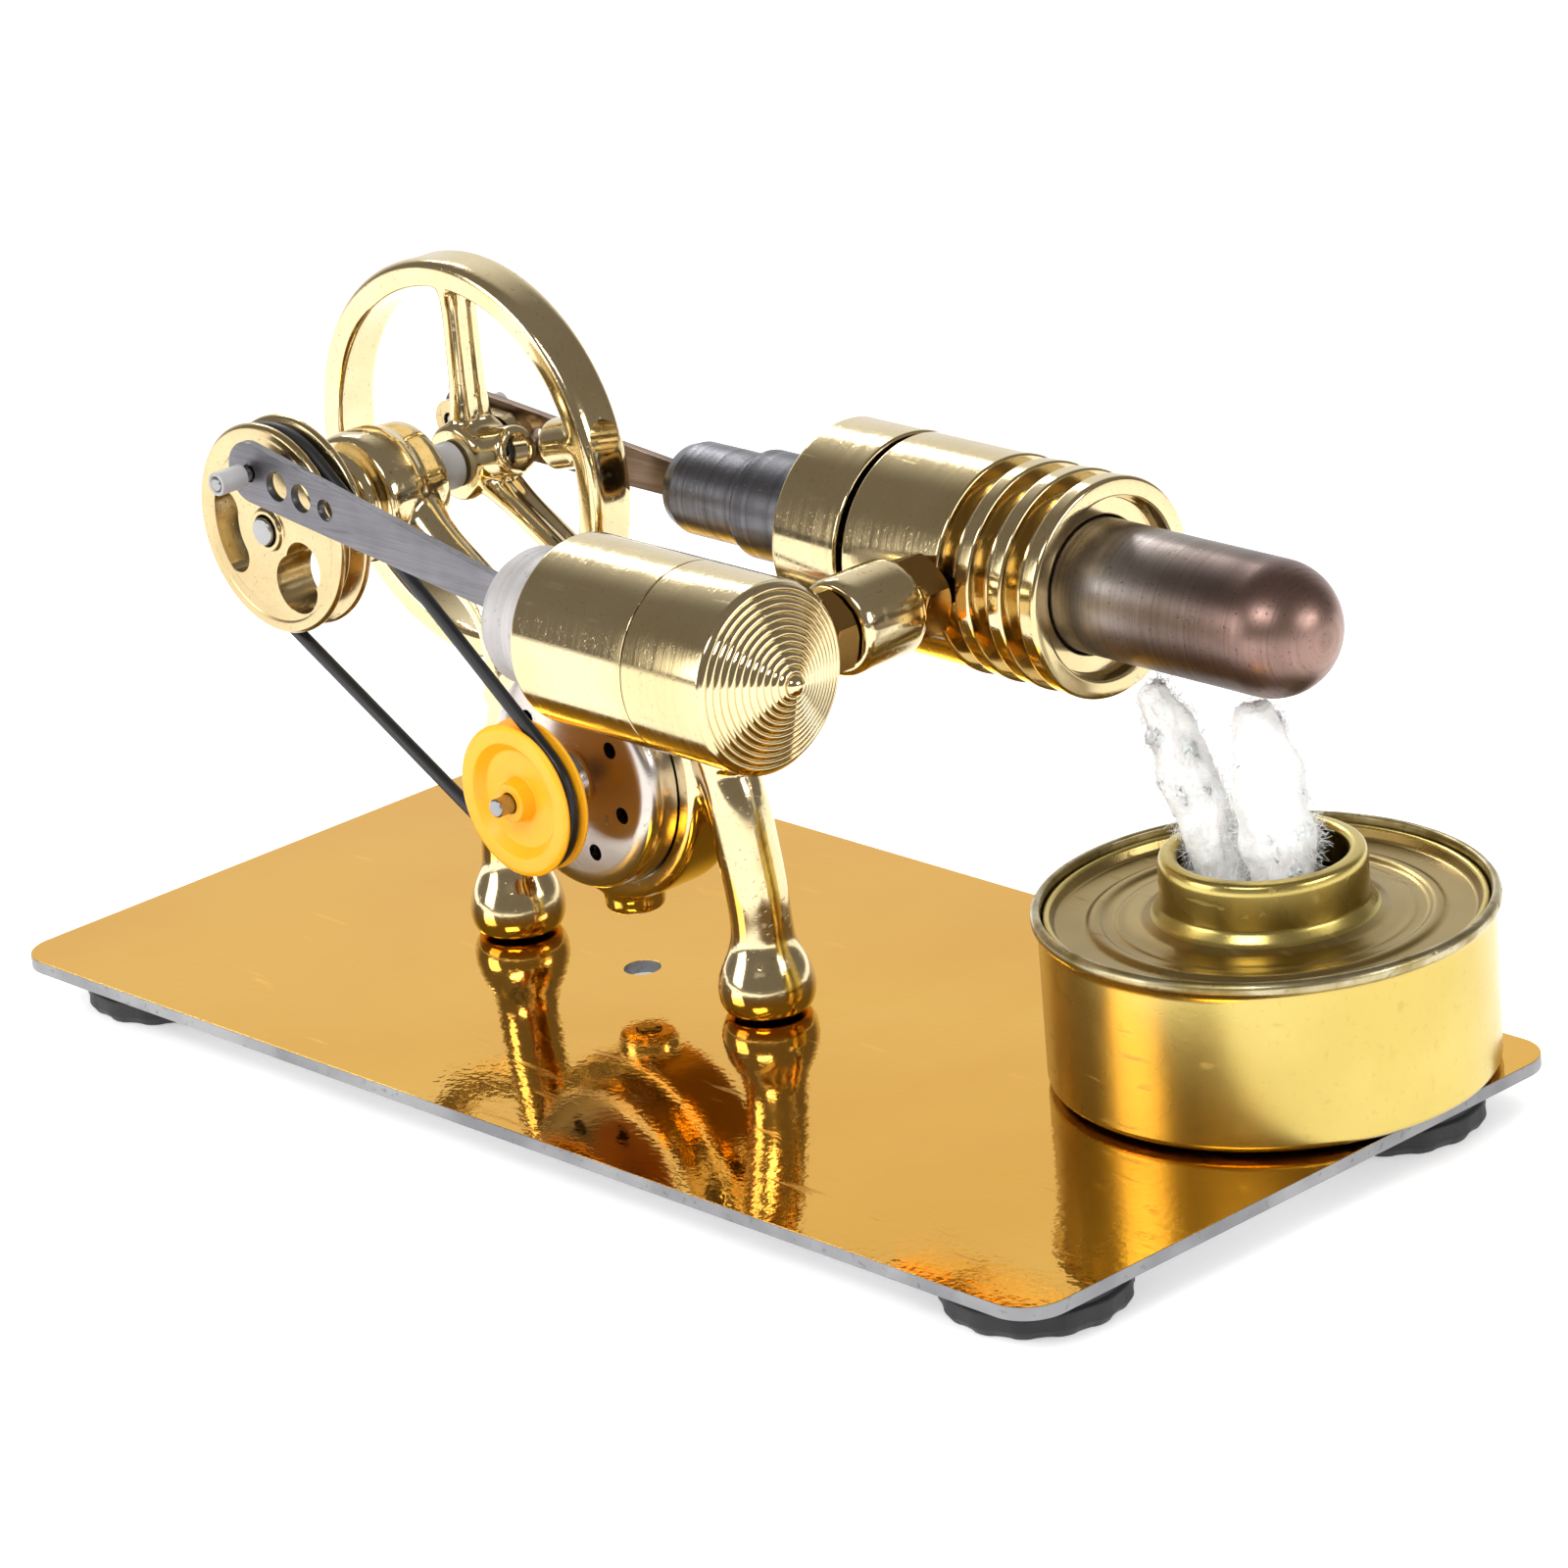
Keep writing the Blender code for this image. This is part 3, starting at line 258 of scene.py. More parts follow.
finishSettings = {
    "mirrorGoldFilm": {"metal": 1, "colours": ("E6B03A", "E0A730"), "rough": (0.045, 0.02), "cloudScale": 25,
        "pits": 0.05, "wave": (55, 4.0), "ripple": (1100, 0.55), "scratch": 0.5, "bump": 0.35,
        "bumpDistance": 0.00006},
    "cutSheetEdge": {"metal": 0.6, "colours": ("9A9A9C", "7E7F83"), "rough": (0.5, 0.1), "pits": 0.8,
        "pitScale": 1400, "pitColour": "505054", "bump": 0.6},
    "paleGoldCasting": {"metal": 1, "colours": ("E6D5AC", "DBC798"), "rough": (0.12, 0.04), "pits": 0.5,
        "pitScale": 2200, "wave": (160, 3.0), "bump": 0.3, "pitColour": "8A7440", "pitShare": 0.4,
        "scratch": 0.4},
    "paleGoldTurned": {"metal": 1, "colours": ("E4D2A8", "D8C494"), "rough": (0.11, 0.03),
        "lines": ("x", 2500, 0.25), "lineShade": 0.06, "pits": 0.3, "bump": 0.25, "pitColour": "8A7440",
        "pitShare": 0.3, "scratch": 0.4, "wave": (140, 1.0)},
    "satinGoldDisc": {"metal": 1, "colours": ("D8C498", "C8B284"), "rough": (0.2, 0.05),
        "lines": ("y", 2600, 0.3), "lineShade": 0.1, "pits": 0.5, "pitColour": "6B5426", "bump": 0.35,
        "scratch": 0.6},
    "nutBrass": {"metal": 1, "colours": ("B08A4C", "A07A40"), "rough": (0.2, 0.06), "pits": 0.4, "bump": 0.3,
        "scratch": 0.5},
    "rodSteel": {"metal": 1, "colours": ("86858A", "737276"), "rough": (0.38, 0.06),
        "lines": ("along", 5200, 0.5), "lineShade": 0.3, "pits": 0.4, "bump": 0.4, "scratch": 0.8},
    "brownRodSteel": {"metal": 1, "colours": ("8A7462", "6E5C4C"), "rough": (0.36, 0.06),
        "lines": ("along", 5200, 0.5), "lineShade": 0.35, "pits": 0.5, "bump": 0.4, "scratch": 0.6},
    "linerAlloy": {"metal": 0.6, "colours": ("CBC8C7", "B2AFAE"), "rough": (0.6, 0.08),
        "lines": ("x", 1800, 0.6), "lineShade": 0.18, "pits": 0.8, "pitScale": 1500, "pitColour": "6E6F72",
        "bump": 0.5},
    "guideSteel": {"metal": 1, "colours": ("8C8C92", "74747A"), "rough": (0.34, 0.07),
        "lines": ("x", 1500, 1.0), "lineShade": 0.55, "pits": 0.5, "bump": 0.6, "scratch": 0.6},
    "hotTubeSteel": {"metal": 1, "colours": ("D8D4D4", "C2BCBC"), "rough": (0.36, 0.05),
        "lines": ("x", 3000, 0.5), "lineShade": 0.3, "pits": 0.6, "pitColour": "3A302A", "bump": 0.35,
        "tint": ("x", [(37, "E0DCD8"), (43, "CBC3BC"), (50, "A3958B"), (57, "948077"), (62, "B2958A"),
        (66.2, "CCAC9E")])},
    "plainSteel": {"metal": 1, "colours": ("B4B4B4", "9C9C9E"), "rough": (0.25, 0.06),
        "lines": ("y", 3500, 0.3), "lineShade": 0.15, "pits": 0.4, "bump": 0.3, "scratch": 0.6},
    "zincCan": {"metal": 1, "colours": ("D6D0C4", "C2B8B4"), "rough": (0.22, 0.06), "pits": 0.4,
        "pitColour": "8C7C8E", "cloudScale": 60, "bump": 0.3, "scratch": 0.8, "wave": (200, 1.2)},
    "pulleyPlastic": {"metal": 0, "colours": ("FFB41E", "FFAB10"), "rough": (0.38, 0.06), "pits": 0.15,
        "wave": (500, 1.0), "bump": 0.25, "constants": {"Subsurface Weight": 0.15, "Subsurface Scale": 0.001}},
    "blackRubber": {"metal": 0, "colours": ("1B1B1D", "262629"), "rough": (0.55, 0.08), "pits": 0.6,
        "pitScale": 3000, "pitColour": "3A3A3D", "bump": 0.5},
    "beltRubber": {"metal": 0, "colours": ("141416", "1E1E21"), "rough": (0.42, 0.07), "pits": 0.4,
        "pitScale": 4000, "bump": 0.4},
    "blackSeal": {"metal": 0, "colours": ("101012", "1A1A1D"), "rough": (0.4, 0.08), "lines": ("y", 3000, 0.4),
        "bump": 0.4},
    "clearSilicone": {"metal": 0, "colours": ("C9C9CA", "B6B6B8"), "rough": (0.3, 0.05), "pits": 0.2,
        "bump": 0.3, "wave": (600, 1.0), "constants": {"Transmission Weight": 0.35, "IOR": 1.41,
        "Subsurface Weight": 0.2, "Subsurface Scale": 0.001}},
    "lacqueredTin": {"metal": 1, "colours": ("D2BE72", "C6B062"), "rough": (0.27, 0.06), "cloudScale": 45,
        "pits": 0.25, "pitShare": 0.12, "pitScale": 1500, "pitColour": "6B5A22", "bump": 0.35, "scratch": 0.5,
        "wave": (120, 1.5)},
    "lidTin": {"metal": 1, "colours": ("AC9660", "A08A56"), "rough": (0.3, 0.06), "cloudScale": 45, "pits": 0.3,
        "pitShare": 0.15, "pitScale": 1500, "pitColour": "6B5A22", "bump": 0.35, "scratch": 0.7,
        "wave": (120, 2.0)},
    "scuffedTin": {"metal": 1, "colours": ("BDB290", "8E7F50"), "rough": (0.34, 0.08), "cloudScale": 260,
        "pits": 0.7, "pitScale": 1200, "pitColour": "5A5446", "bump": 0.5, "scratch": 1.0},
    "wickCotton": {"metal": 0, "colours": ("F8F8F7", "F3F2F0"), "rough": (0.9, 0.05), "cloudScale": 400,
        "pits": 0.2, "pitScale": 1800, "bump": 0.3, "constants": {"Sheen Weight": 0.3, "Subsurface Weight": 0.2,
        "Subsurface Scale": 0.0015}},
    "copperWire": {"metal": 1, "colours": ("B8704A", "A0603C"), "rough": (0.3, 0.06), "lines": ("y", 3800, 0.6),
        "lineShade": 0.3, "bump": 0.5},
    "studioFloor": {"metal": 0, "colours": ("F4F4F4", "F1F1F1"), "rough": (0.75, 0.05), "pits": 0.02,
        "bump": 0.05, "constants": {"Emission Color": (1, 1, 1, 1), "Emission Strength": 0.45}},
}
finishes = {name: finishOf(name, spec) for name, spec in finishSettings.items()}
print("materials ready:", len(finishes))


def linkMesh(name, mesh, finish, body=None, replaced=()):
    item = bpy.data.objects.new(name, mesh)
    scene.collection.objects.link(item)
    if finish:
        mesh.materials.clear()
        for each in ([finish] if isinstance(finish, str) else finish):
            mesh.materials.append(finishes[each])
    if body:
        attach(item, body)
    if replaced:
        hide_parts(*replaced)
    return item


def meshFrom(shape, name):
    bmesh.ops.remove_doubles(shape, verts=shape.verts[:], dist=mergeDistance)
    bmesh.ops.recalc_face_normals(shape, faces=shape.faces[:])
    mesh = bpy.data.meshes.new(name)
    shape.to_mesh(mesh)
    shape.free()
    return mesh


def rounded(profile, radius, steps=4, closed=False):
    # rounds the corners of a 2-D outline
    found = []
    count = len(profile)
    for index, corner in enumerate(profile):
        here = Vector(corner[:2])
        size = corner[2] if len(corner) > 2 else radius
        if not closed and index in (0, count - 1) or size <= 0:
            found.append(here)
            continue
        before = Vector(profile[index - 1][:2]) - here
        after = Vector(profile[(index + 1) % count][:2]) - here
        reach = min(size, before.length * cornerShare, after.length * cornerShare)
        start = here + before.normalized() * reach
        end = here + after.normalized() * reach
        for step in range(steps + 1):
            t = step / steps
            found.append((1 - t) ** 2 * start + 2 * t * (1 - t) * here + t * t * end)
    return found


toAxis = {"x": Matrix.Rotation(math.pi / 2, 4, "Y"), "y": Matrix.Rotation(-math.pi / 2, 4, "X"),
        "z": Matrix.Identity(4)}


def lathe(name, profile, centre, axis, segments=144, closed=False, wobble=None):
    # turns (place along the axis, radius) points, in millimetres, round an axis through centre
    shape = bmesh.new()
    rings = []
    for place, radius in profile:
        if radius < axisRadius:
            rings.append([shape.verts.new((0, 0, place * mm))])
            continue
        ring = []
        for step in range(segments):
            angle = 2 * math.pi * step / segments
            reach = radius * (wobble(angle, place) if wobble else 1)
            ring.append(shape.verts.new((reach * mm * math.cos(angle), reach * mm * math.sin(angle),
                    place * mm)))
        rings.append(ring)
    pairs = list(zip(rings, rings[1:]))
    if closed:
        pairs.append((rings[-1], rings[0]))
    for low, high in pairs:
        for step in range(segments):
            after = (step + 1) % segments
            corners = list(dict.fromkeys([low[step % len(low)], low[after % len(low)], high[after % len(high)],
                    high[step % len(high)]]))
            if len(corners) > 2:
                shape.faces.new(corners)
    if not closed:
        for ring in (rings[0], rings[-1]):
            if len(ring) > 1:
                shape.faces.new(ring)
    mesh = meshFrom(shape, name)
    place = dict(x=(0, centre.y, centre.z), y=(centre.x, 0, centre.z), z=(centre.x, centre.y, 0))[axis]
    mesh.transform(Matrix.Translation(Vector(place) * mm) @ toAxis[axis])
    return mesh


def sweep(name, path, radii, sides=24, closed=False, flat=1.0):
    shape = bmesh.new()
    rings = []
    count = len(path)
    side = None
    for index, point in enumerate(path):
        before = path[index - 1] if index or closed else path[0]
        after = path[(index + 1) % count] if index < count - 1 or closed else path[-1]
        ahead = (after - before).normalized()
        side = side or ahead.orthogonal().normalized()
        side = (side - ahead * side.dot(ahead)).normalized()
        up = ahead.cross(side)
        ring = []
        for step in range(sides):
            angle = 2 * math.pi * step / sides
            offset = math.cos(angle) * side + flat * math.sin(angle) * up
            ring.append(shape.verts.new((point + radii[index] * offset) * mm))
        rings.append(ring)
    pairs = list(zip(rings, rings[1:]))
    if closed:
        pairs.append((rings[-1], rings[0]))
    for low, high in pairs:
        for step in range(sides):
            after = (step + 1) % sides
            shape.faces.new((low[step], low[after], high[after], high[step]))
    if not closed:
        shape.faces.new(rings[0])
        shape.faces.new(rings[-1])
    return meshFrom(shape, name)


def prism(name, outline, low, high, bevel=0.15, axis="y", centre=Vector()):
    # extrudes an outline given in the plane across the axis, with rounded edges
    shape = bmesh.new()
    corner = {"y": lambda a, b, c: (a, c, b), "z": lambda a, b, c: (a, b, c), "x": lambda a, b,
            c: (c, a, b)}[axis]
    bottom = [shape.verts.new((Vector(corner(a, b, low)) + centre) * mm) for a, b in outline]
    top = [shape.verts.new((Vector(corner(a, b, high)) + centre) * mm) for a, b in outline]
    shape.faces.new(bottom)
    shape.faces.new(top)
    for index in range(len(outline)):
        after = (index + 1) % len(outline)
        shape.faces.new((bottom[index], bottom[after], top[after], top[index]))
    mesh = meshFrom(shape, name)
    return modified(mesh, [bevelled(bevel, 3, 35)]) if bevel else mesh


def bevelled(width, segments, angle):
    return "BEVEL", {"width": width * mm, "segments": segments, "limit_method": "ANGLE",
            "angle_limit": math.radians(angle)}


def modified(mesh, changes, cutters=(), operation="DIFFERENCE"):
    # runs modifiers on a mesh and returns the plain result
    item = bpy.data.objects.new("work", mesh)
    scene.collection.objects.link(item)
    tools = []
    for cutter in cutters:
        tool = bpy.data.objects.new("tool", cutter)
        scene.collection.objects.link(tool)
        tools.append(tool)
        change = item.modifiers.new("cut", "BOOLEAN")
        change.operation = operation
        change.object = tool
    for kind, settings in changes:
        change = item.modifiers.new(kind, kind)
        for key, value in settings.items():
            setattr(change, key, value)
    bpy.context.view_layer.update()
    result = bpy.data.meshes.new_from_object(item.evaluated_get(bpy.context.evaluated_depsgraph_get()))
    for each in [item, *tools]:
        bpy.data.objects.remove(each)
    return result


def smoothed(mesh, angle=40, weighted=True):
    mesh.shade_smooth()
    mesh.set_sharp_from_angle(angle=math.radians(angle))
    if not weighted:
        return mesh
    return modified(mesh, [("WEIGHTED_NORMAL", {"keep_sharp": True, "weight": 50})])


def arcPoints(centre, radius, start, end, steps):
    return [Vector((centre[0] + radius * math.cos(start + (end - start) * i / steps),
            centre[1] + radius * math.sin(start + (end - start) * i / steps))) for i in range(steps + 1)]


def rodMesh(name, centre, axis, low, high, radius, segments=32):
    return lathe(name, [(low, radius), (high, radius)], centre, axis, segments)


def turnedPiece(node, body, profile, centre, axis, finish, closed=True, soften=0.25, segments=144, cutters=(),
        sharp=40):
    outline = rounded(profile, soften, 4, closed)
    mesh = lathe(node, outline, centre, axis, segments, closed)
    if cutters:
        mesh = modified(mesh, [], cutters)
    return linkMesh("look_" + node, smoothed(mesh, sharp), finish, body, (node,))


plateSettings = {"corner": 4.5, "edgeRound": 0.12, "cornerSteps": 14}


def makePlate():
    s = plateSettings
    half = (plateHigh - plateLow) / 2
    outline = []
    for quarter, (x, y) in enumerate(((1, 1), (-1, 1), (-1, -1), (1, -1))):
        centre = (x * (half.x - s["corner"]), y * (half.y - s["corner"]))
        outline += arcPoints(centre, s["corner"], quarter * math.pi / 2, (quarter + 1) * math.pi / 2,
                s["cornerSteps"])
    mesh = prism("plate", outline, plateLow.z, plateHigh.z, 0, "z")
    clamp = middle("motor_clamp_screw")
    holes = [rodMesh("hole", clamp, "z", plateLow.z - 1, plateHigh.z + 1, 1.95, 48)]
    for side in ("left", "right"):
        holes.append(rodMesh("hole", middle("leg_screw_" + side), "z", plateLow.z - 1, plateHigh.z + 1, 1.7,
                32))
    mesh = modified(mesh, [bevelled(s["edgeRound"], 2, 50)], holes)
    mesh = smoothed(mesh, 50)
    item = linkMesh("look_base_plate", mesh, ("mirrorGoldFilm", "cutSheetEdge"), "base", ("base_plate",))
    for face in mesh.polygons:
        face.material_index = 0 if face.normal.z > 0.6 else 1
    return item


footSettings = {"lobes": 26, "depth": 0.025, "groove": 0.5}


def makeFeet():
    s = footSettings
    for end in ("front_left", "front_right", "rear_left", "rear_right"):
        low, high = span("foot_" + end)
        radius = (high.x - low.x) / 2
        reach = radius / (1 + 2 * s["depth"])
        profile = [(low.z, 0), (low.z, reach - 1.4), (low.z + 0.15, reach - 0.8), (low.z + 1.1, reach),
                (low.z + 2.6, reach), (low.z + 2.9, reach - s["groove"]), (low.z + 3.3, reach - s["groove"]),
                (low.z + 3.5, reach - 0.1), (high.z, reach - 0.3), (high.z, 0)]

        def tread(angle, place):
            fade = max(0, 1 - (place - low.z) / 2.8)
            return 1 + s["depth"] * fade * (1 + math.copysign(abs(math.cos(s["lobes"] * angle / 2)) ** 0.6,
                    math.cos(s["lobes"] * angle / 2)))
        mesh = lathe("foot", rounded(profile, 0.2), middle("foot_" + end), "z", s["lobes"] * 8, False, tread)
        linkMesh("look_foot_" + end, smoothed(mesh, 45, False), "blackRubber", "base", ("foot_" + end,))


def melted(node, body, parts, voxel, smoothing, cutters, finish="paleGoldCasting"):
    # a poured and polished casting: its parts are melted together, then drilled
    shape = bmesh.new()
    for part in parts:
        shape.from_mesh(part)
    mesh = bpy.data.meshes.new(node)
    shape.to_mesh(mesh)
    shape.free()
    mesh = modified(mesh, [("REMESH", {"mode": "VOXEL", "voxel_size": voxel * mm, "use_smooth_shade": True}),
            ("SMOOTH", {"factor": 0.6, "iterations": smoothing})])
    mesh = modified(mesh, [], cutters)
    mesh.shade_smooth()
    mesh.set_sharp_from_angle(angle=math.radians(50))
    print(node, len(mesh.polygons), "faces")
    return linkMesh("look_" + node, mesh, finish, body, (node,))


def smoothPath(points, steps):
    found = []
    ends = [points[0], *points, points[-1]]
    for index in range(len(points) - 1):
        a, b, c, d = (Vector(p) for p in ends[index:index + 4])
        for step in range(steps):
            t = step / steps
            curve = 2 * b + (c - a) * t + (2 * a - 5 * b + 4 * c - d) * t * t
            found.append(0.5 * (curve + (3 * b - a - 3 * c + d) * t ** 3))
    found.append(Vector(points[-1]))
    return found


frameSettings = {"legRadius": 3.25, "footBulb": 5.1, "ringWall": 2, "ringFront": -4.3, "ringRear": 2.9,
        "housing": 7.1, "sleeve": 5, "voxel": 0.28, "smoothing": 14}


def makeFrame():
    s = frameSettings
    midY = middle("leg_screw_left").y
    legHalf = (middle("leg_screw_right").x - middle("leg_screw_left").x) / 2
    canRadius = (span("motor_can")[1].x - span("motor_can")[0].x) / 2
    bore, outer = canRadius + 0.2, canRadius + 0.2 + s["ringWall"]
    front, rear = s["ringFront"], s["ringRear"]
    shaft, motor, sleeve = crankCentre, motorMid, middle("transfer_tube")
    ring = [(front, bore - 1), (front, outer, 0.8), (rear, outer, 0.8), (rear, bore - 1)]
    parts = [lathe("ring", rounded(ring, 0.8, 6, True), motor, "y", 160, True)]
    clamp = middle("motor_clamp_screw")
    bossLow = motor.z - outer - 2
    parts.append(lathe("boss", rounded([(bossLow, 0), (bossLow, 3.2, 0.5), (motor.z - bore - 0.6, 3.2),
            (motor.z - bore - 0.6, 0)], 0.4), clamp, "z", 64))
    h = s["housing"]
    nose = [(-7, 0), (-7, 4.6, 0.5), (-5.5, 4.8, 0.5), (-5.5, h, 0.9), (-0.6, h, 0.4), (-0.4, h - 0.5, 0.3),
            (3.5, h - 0.6, 1), (3.5, 0)]
    parts.append(lathe("housing", rounded(nose, 0.5, 5), shaft, "y", 128))
    parts.append(lathe("sleeve", rounded([(-6, 0), (-6, s["sleeve"], 0.9), (2.6, s["sleeve"], 0.9), (2.6, 0)],
            0.8, 5), sleeve, "y", 96))
    leg = [(0, 0.3, 4.4), (0, 1.4, 4.95), (0, 3, 5.1), (0, 5, 4.6), (0, 7.4, 3.55), (0, 9.5, 3.25),
            (-0.3, 13, 3.25), (-1, 17, 3.25), (-2.3, 23, 3.25), (-5, 28.4, 3.15), (-9, 32.6, 2.75),
            (-13, 35, 2.15)]
    grow = s["legRadius"] / 3.25
    for sign in (-1, 1):
        route = smoothPath([(motor.x + sign * (legHalf + x), z,
                r * (grow if z > 6 else s["footBulb"] / 5.1)) for x, z, r in leg], 8)
        parts.append(sweep("leg", [Vector((p.x, midY, plateHigh.z + p.y)) for p in route], [p.z for p in route],
                48))
    shoulder = legHalf - 2.8
    arms = [[(shaft.x + 2, shaft.z - 0.9, 4.6), (shaft.x + 5.6, shaft.z - 2.9, 3.2),
            (shaft.x + 9, shaft.z - 5, 2.5), (motor.x - 18.9, motor.z + 13.8, 2.5),
            (motor.x - shoulder + 0.4, motor.z + 9, 3), (motor.x - shoulder - 0.6, motor.z + 3, 3)],
            [(sleeve.x - 1, shaft.z - 0.8, 3.5), (sleeve.x - 6, shaft.z - 4.2, 2.9),
            ((sleeve.x + motor.x + shoulder) / 2 + 1, (shaft.z + motor.z) / 2 + 3.2, 2.5),
            (motor.x + shoulder + 1.2, motor.z + 10.5, 2.7), (motor.x + shoulder + 0.6, motor.z + 3, 3)]]
    for arm in arms:
        route = smoothPath(arm, 8)
        parts.append(sweep("arm", [Vector((p.x, midY, p.y)) for p in route], [p.z for p in route], 48))
    cutters = [rodMesh("bore", shaft, "y", -through, through, 3.3, 64),
            rodMesh("port", sleeve, "y", -through, through, 2.2, 48), rodMesh("motorBore", motor, "y", -through,
            through, bore, 160), rodMesh("clamp", clamp, "z", bossLow - 2, motor.z, 1.4, 32)]
    melted("engine_frame", "base", parts, s["voxel"], s["smoothing"], cutters)


wheelSettings = {"rim": 3.1, "rimRound": 1.1, "hub": 4.3, "spoke": 1.2, "spokePitch": 1.9, "spokes": 3,
        "screwAngle": 15, "thread": 0.5, "voxel": 0.24, "smoothing": 12}


def makeFlywheel():
    s = wheelSettings
    low, high = span("flywheel")
    radius = (high.z - low.z) / 2
    front, rear = low.y + 0.3, high.y
    inner, mid = radius - s["rim"], (front + rear) / 2
    rim = [(front, inner, 0.8), (front, radius, s["rimRound"]), (rear, radius, s["rimRound"]),
            (rear, inner, 0.8)]
    parts = [lathe("rim", rounded(rim, 0.8, 8, True), wheelMid, "y", 240, True),
            lathe("hub", rounded([(front - 0.3, 0), (front - 0.3, s["hub"], 0.9), (rear, s["hub"], 0.9),
            (rear, 0)], 0.8, 6), wheelMid, "y", 96)]
    for index in range(s["spokes"]):
        angle = math.pi / 2 + 2 * math.pi * index / s["spokes"]
        for side in (-1, 1):
            route = smoothPath([(reach, 0, s["spoke"] + extra) for reach,
                    extra in ((2.5, 0.5), (5, 0.3), (8, 0.05), (12, 0), (inner - 2, 0.05), (inner + 1, 0.6))],
                    5)
            path = [Vector((wheelMid.x + p.x * math.cos(angle), mid + side * s["spokePitch"] / 2,
                    wheelMid.z + p.x * math.sin(angle))) for p in route]
            parts.append(sweep("spoke", path, [p.z for p in route], 24))
    tilt = math.radians(s["screwAngle"])
    centre = Vector((wheelMid.x, mid, wheelMid.z)) * mm
    turn = Matrix.Translation(centre) @ Matrix.Rotation(math.pi / 2 - tilt, 4, "Y")

    def radial(profile, segments=64):
        made = lathe("radial", profile, Vector(), "z", segments)
        made.transform(turn)
        return made

    parts += [radial(rounded([(2, 0), (2, 2.9), (7.6, 2.75, 0.4), (7.6, 0)], 0.3)),
            radial(rounded([(14.2, 0), (14.2, 2.8, 0.4), (inner + 1, 2.9), (inner + 1, 0)], 0.3))]
    thread = [(3, 0)]
    place = 3
    while place < 7.2:
        thread += [(place, 1.6), (place + s["thread"] / 2, 1.9)]
        place += s["thread"]
    thread += [(place, 1.6), (7.1, 1.75), (9, 2.1), (9, 0)]
    cutters = [rodMesh("bore", wheelMid, "y", low.y - 3, high.y + 3, 1.7, 48), radial(thread, 48),
            radial([(12.5, 0), (12.5, 1.9), (radius + 3, 1.9), (radius + 3, 0)], 48)]
    melted("flywheel", "crankshaft", parts, s["voxel"], s["smoothing"], cutters)


discSettings = {"slotInner": 4.9, "slotOuter": 8.9, "slotStart": 170, "slotEnd": 213, "groove": 9.5}


def makeDisc():
    s = discSettings
    front, back = discLow.y + 0.5, discHigh.y
    radius = (discHigh.x - discLow.x) / 2
    mid = (front + back) / 2
    bore = 1.72
    profile = [(front - 0.5, bore), (front - 0.5, 2.2), (front, 2.35), (front, 8.6, 0.05),
            (front + 0.12, 8.9, 0.05), (front + 0.12, 9.9, 0.05), (front, 10.2), (front, radius - 0.35, 0.3),
            (front + 0.45, radius, 0.3), (front + 0.95, radius - 0.1, 0.3), (mid - 0.65, s["groove"]),
            (mid + 0.65, s["groove"]), (back - 0.95, radius - 0.1, 0.3), (back - 0.45, radius, 0.3),
            (back, radius - 0.35, 0.3), (back, bore)]
    start, end = math.radians(s["slotStart"]), math.radians(s["slotEnd"])
    reach = (s["slotInner"] + s["slotOuter"]) / 2
    half = (s["slotOuter"] - s["slotInner"]) / 2
    tips = [(reach * math.cos(a), reach * math.sin(a)) for a in (start, end)]
    kidney = arcPoints((0, 0), s["slotOuter"], start, end, 16)
    kidney += arcPoints(tips[1], half, end, end + math.pi, 14)[1:-1]
    kidney += arcPoints((0, 0), s["slotInner"], end, start, 16)
    kidney += arcPoints(tips[0], half, start + math.pi, start + 2 * math.pi, 14)[1:-1]
    axis = Vector((crankCentre.x, 0, crankCentre.z))
    pin = middle("power_crank_pin")
    cutters = [prism("kidney", kidney, front - 1, back + 1, 0, "y", axis),
            rodMesh("hole", axis + Vector((5.1, 0, -3.2)), "y", front - 1, back + 1, 2.7, 40),
            rodMesh("hole", axis + Vector((3.7, 0, -5.4)), "y", front - 1, back + 1, 3.2, 40),
            rodMesh("hole", pin, "y", front - 1, back + 1, 0.9, 24)]
    turnedPiece("crank_disc", "crankshaft", profile, crankCentre, "y", "satinGoldDisc", True, 0.15, 160,
            cutters, 30)


pinSettings = {"chamfer": 0.15}


def makePins():
    c = pinSettings["chamfer"]
    for node, body in (("main_shaft", "crankshaft"), ("power_crank_pin", "crankshaft"),
            ("power_pin_end", "power_rod"), ("displacer_crank_pin", "crankshaft"),
            ("displacer_pin_end", "displacer_rod"), ("motor_shaft", "motor_armature")):
        low, high = span(node)
        radius = (high.x - low.x) / 2
        profile = [(low.y, 0), (low.y, radius - c), (low.y + c, radius), (high.y - c, radius),
                (high.y, radius - c), (high.y, 0)]
        turnedPiece(node, body, profile, middle(node), "y", "plainSteel", False, 0.08, 48)
    for node, body, inner in (("power_pin_retainer", "power_rod", 0.85),
            ("displacer_pin_retainer", "displacer_rod", 0.85), ("shaft_spacer", "crankshaft", 1.7)):
        low, high = span(node)
        radius = (high.x - low.x) / 2
        profile = [(low.y, inner), (low.y, radius), (high.y, radius), (high.y, inner)]
        turnedPiece(node, body, profile, middle(node), "y", "clearSilicone", True, 0.12, 64)
    for node in ("front_bearing", "rear_bearing"):
        low, high = span(node)
        radius = (high.x - low.x) / 2
        profile = [(low.y, 1.7), (low.y, 2.1), (low.y + 0.25, 2.2), (low.y + 0.25, 2.7), (low.y, 2.8),
                (low.y, radius), (high.y, radius), (high.y, 2.8), (high.y - 0.25, 2.7), (high.y - 0.25, 2.2),
                (high.y, 2.1), (high.y, 1.7)]
        turnedPiece(node, "base", profile, middle(node), "y", "blackSeal", True, 0.06, 64)


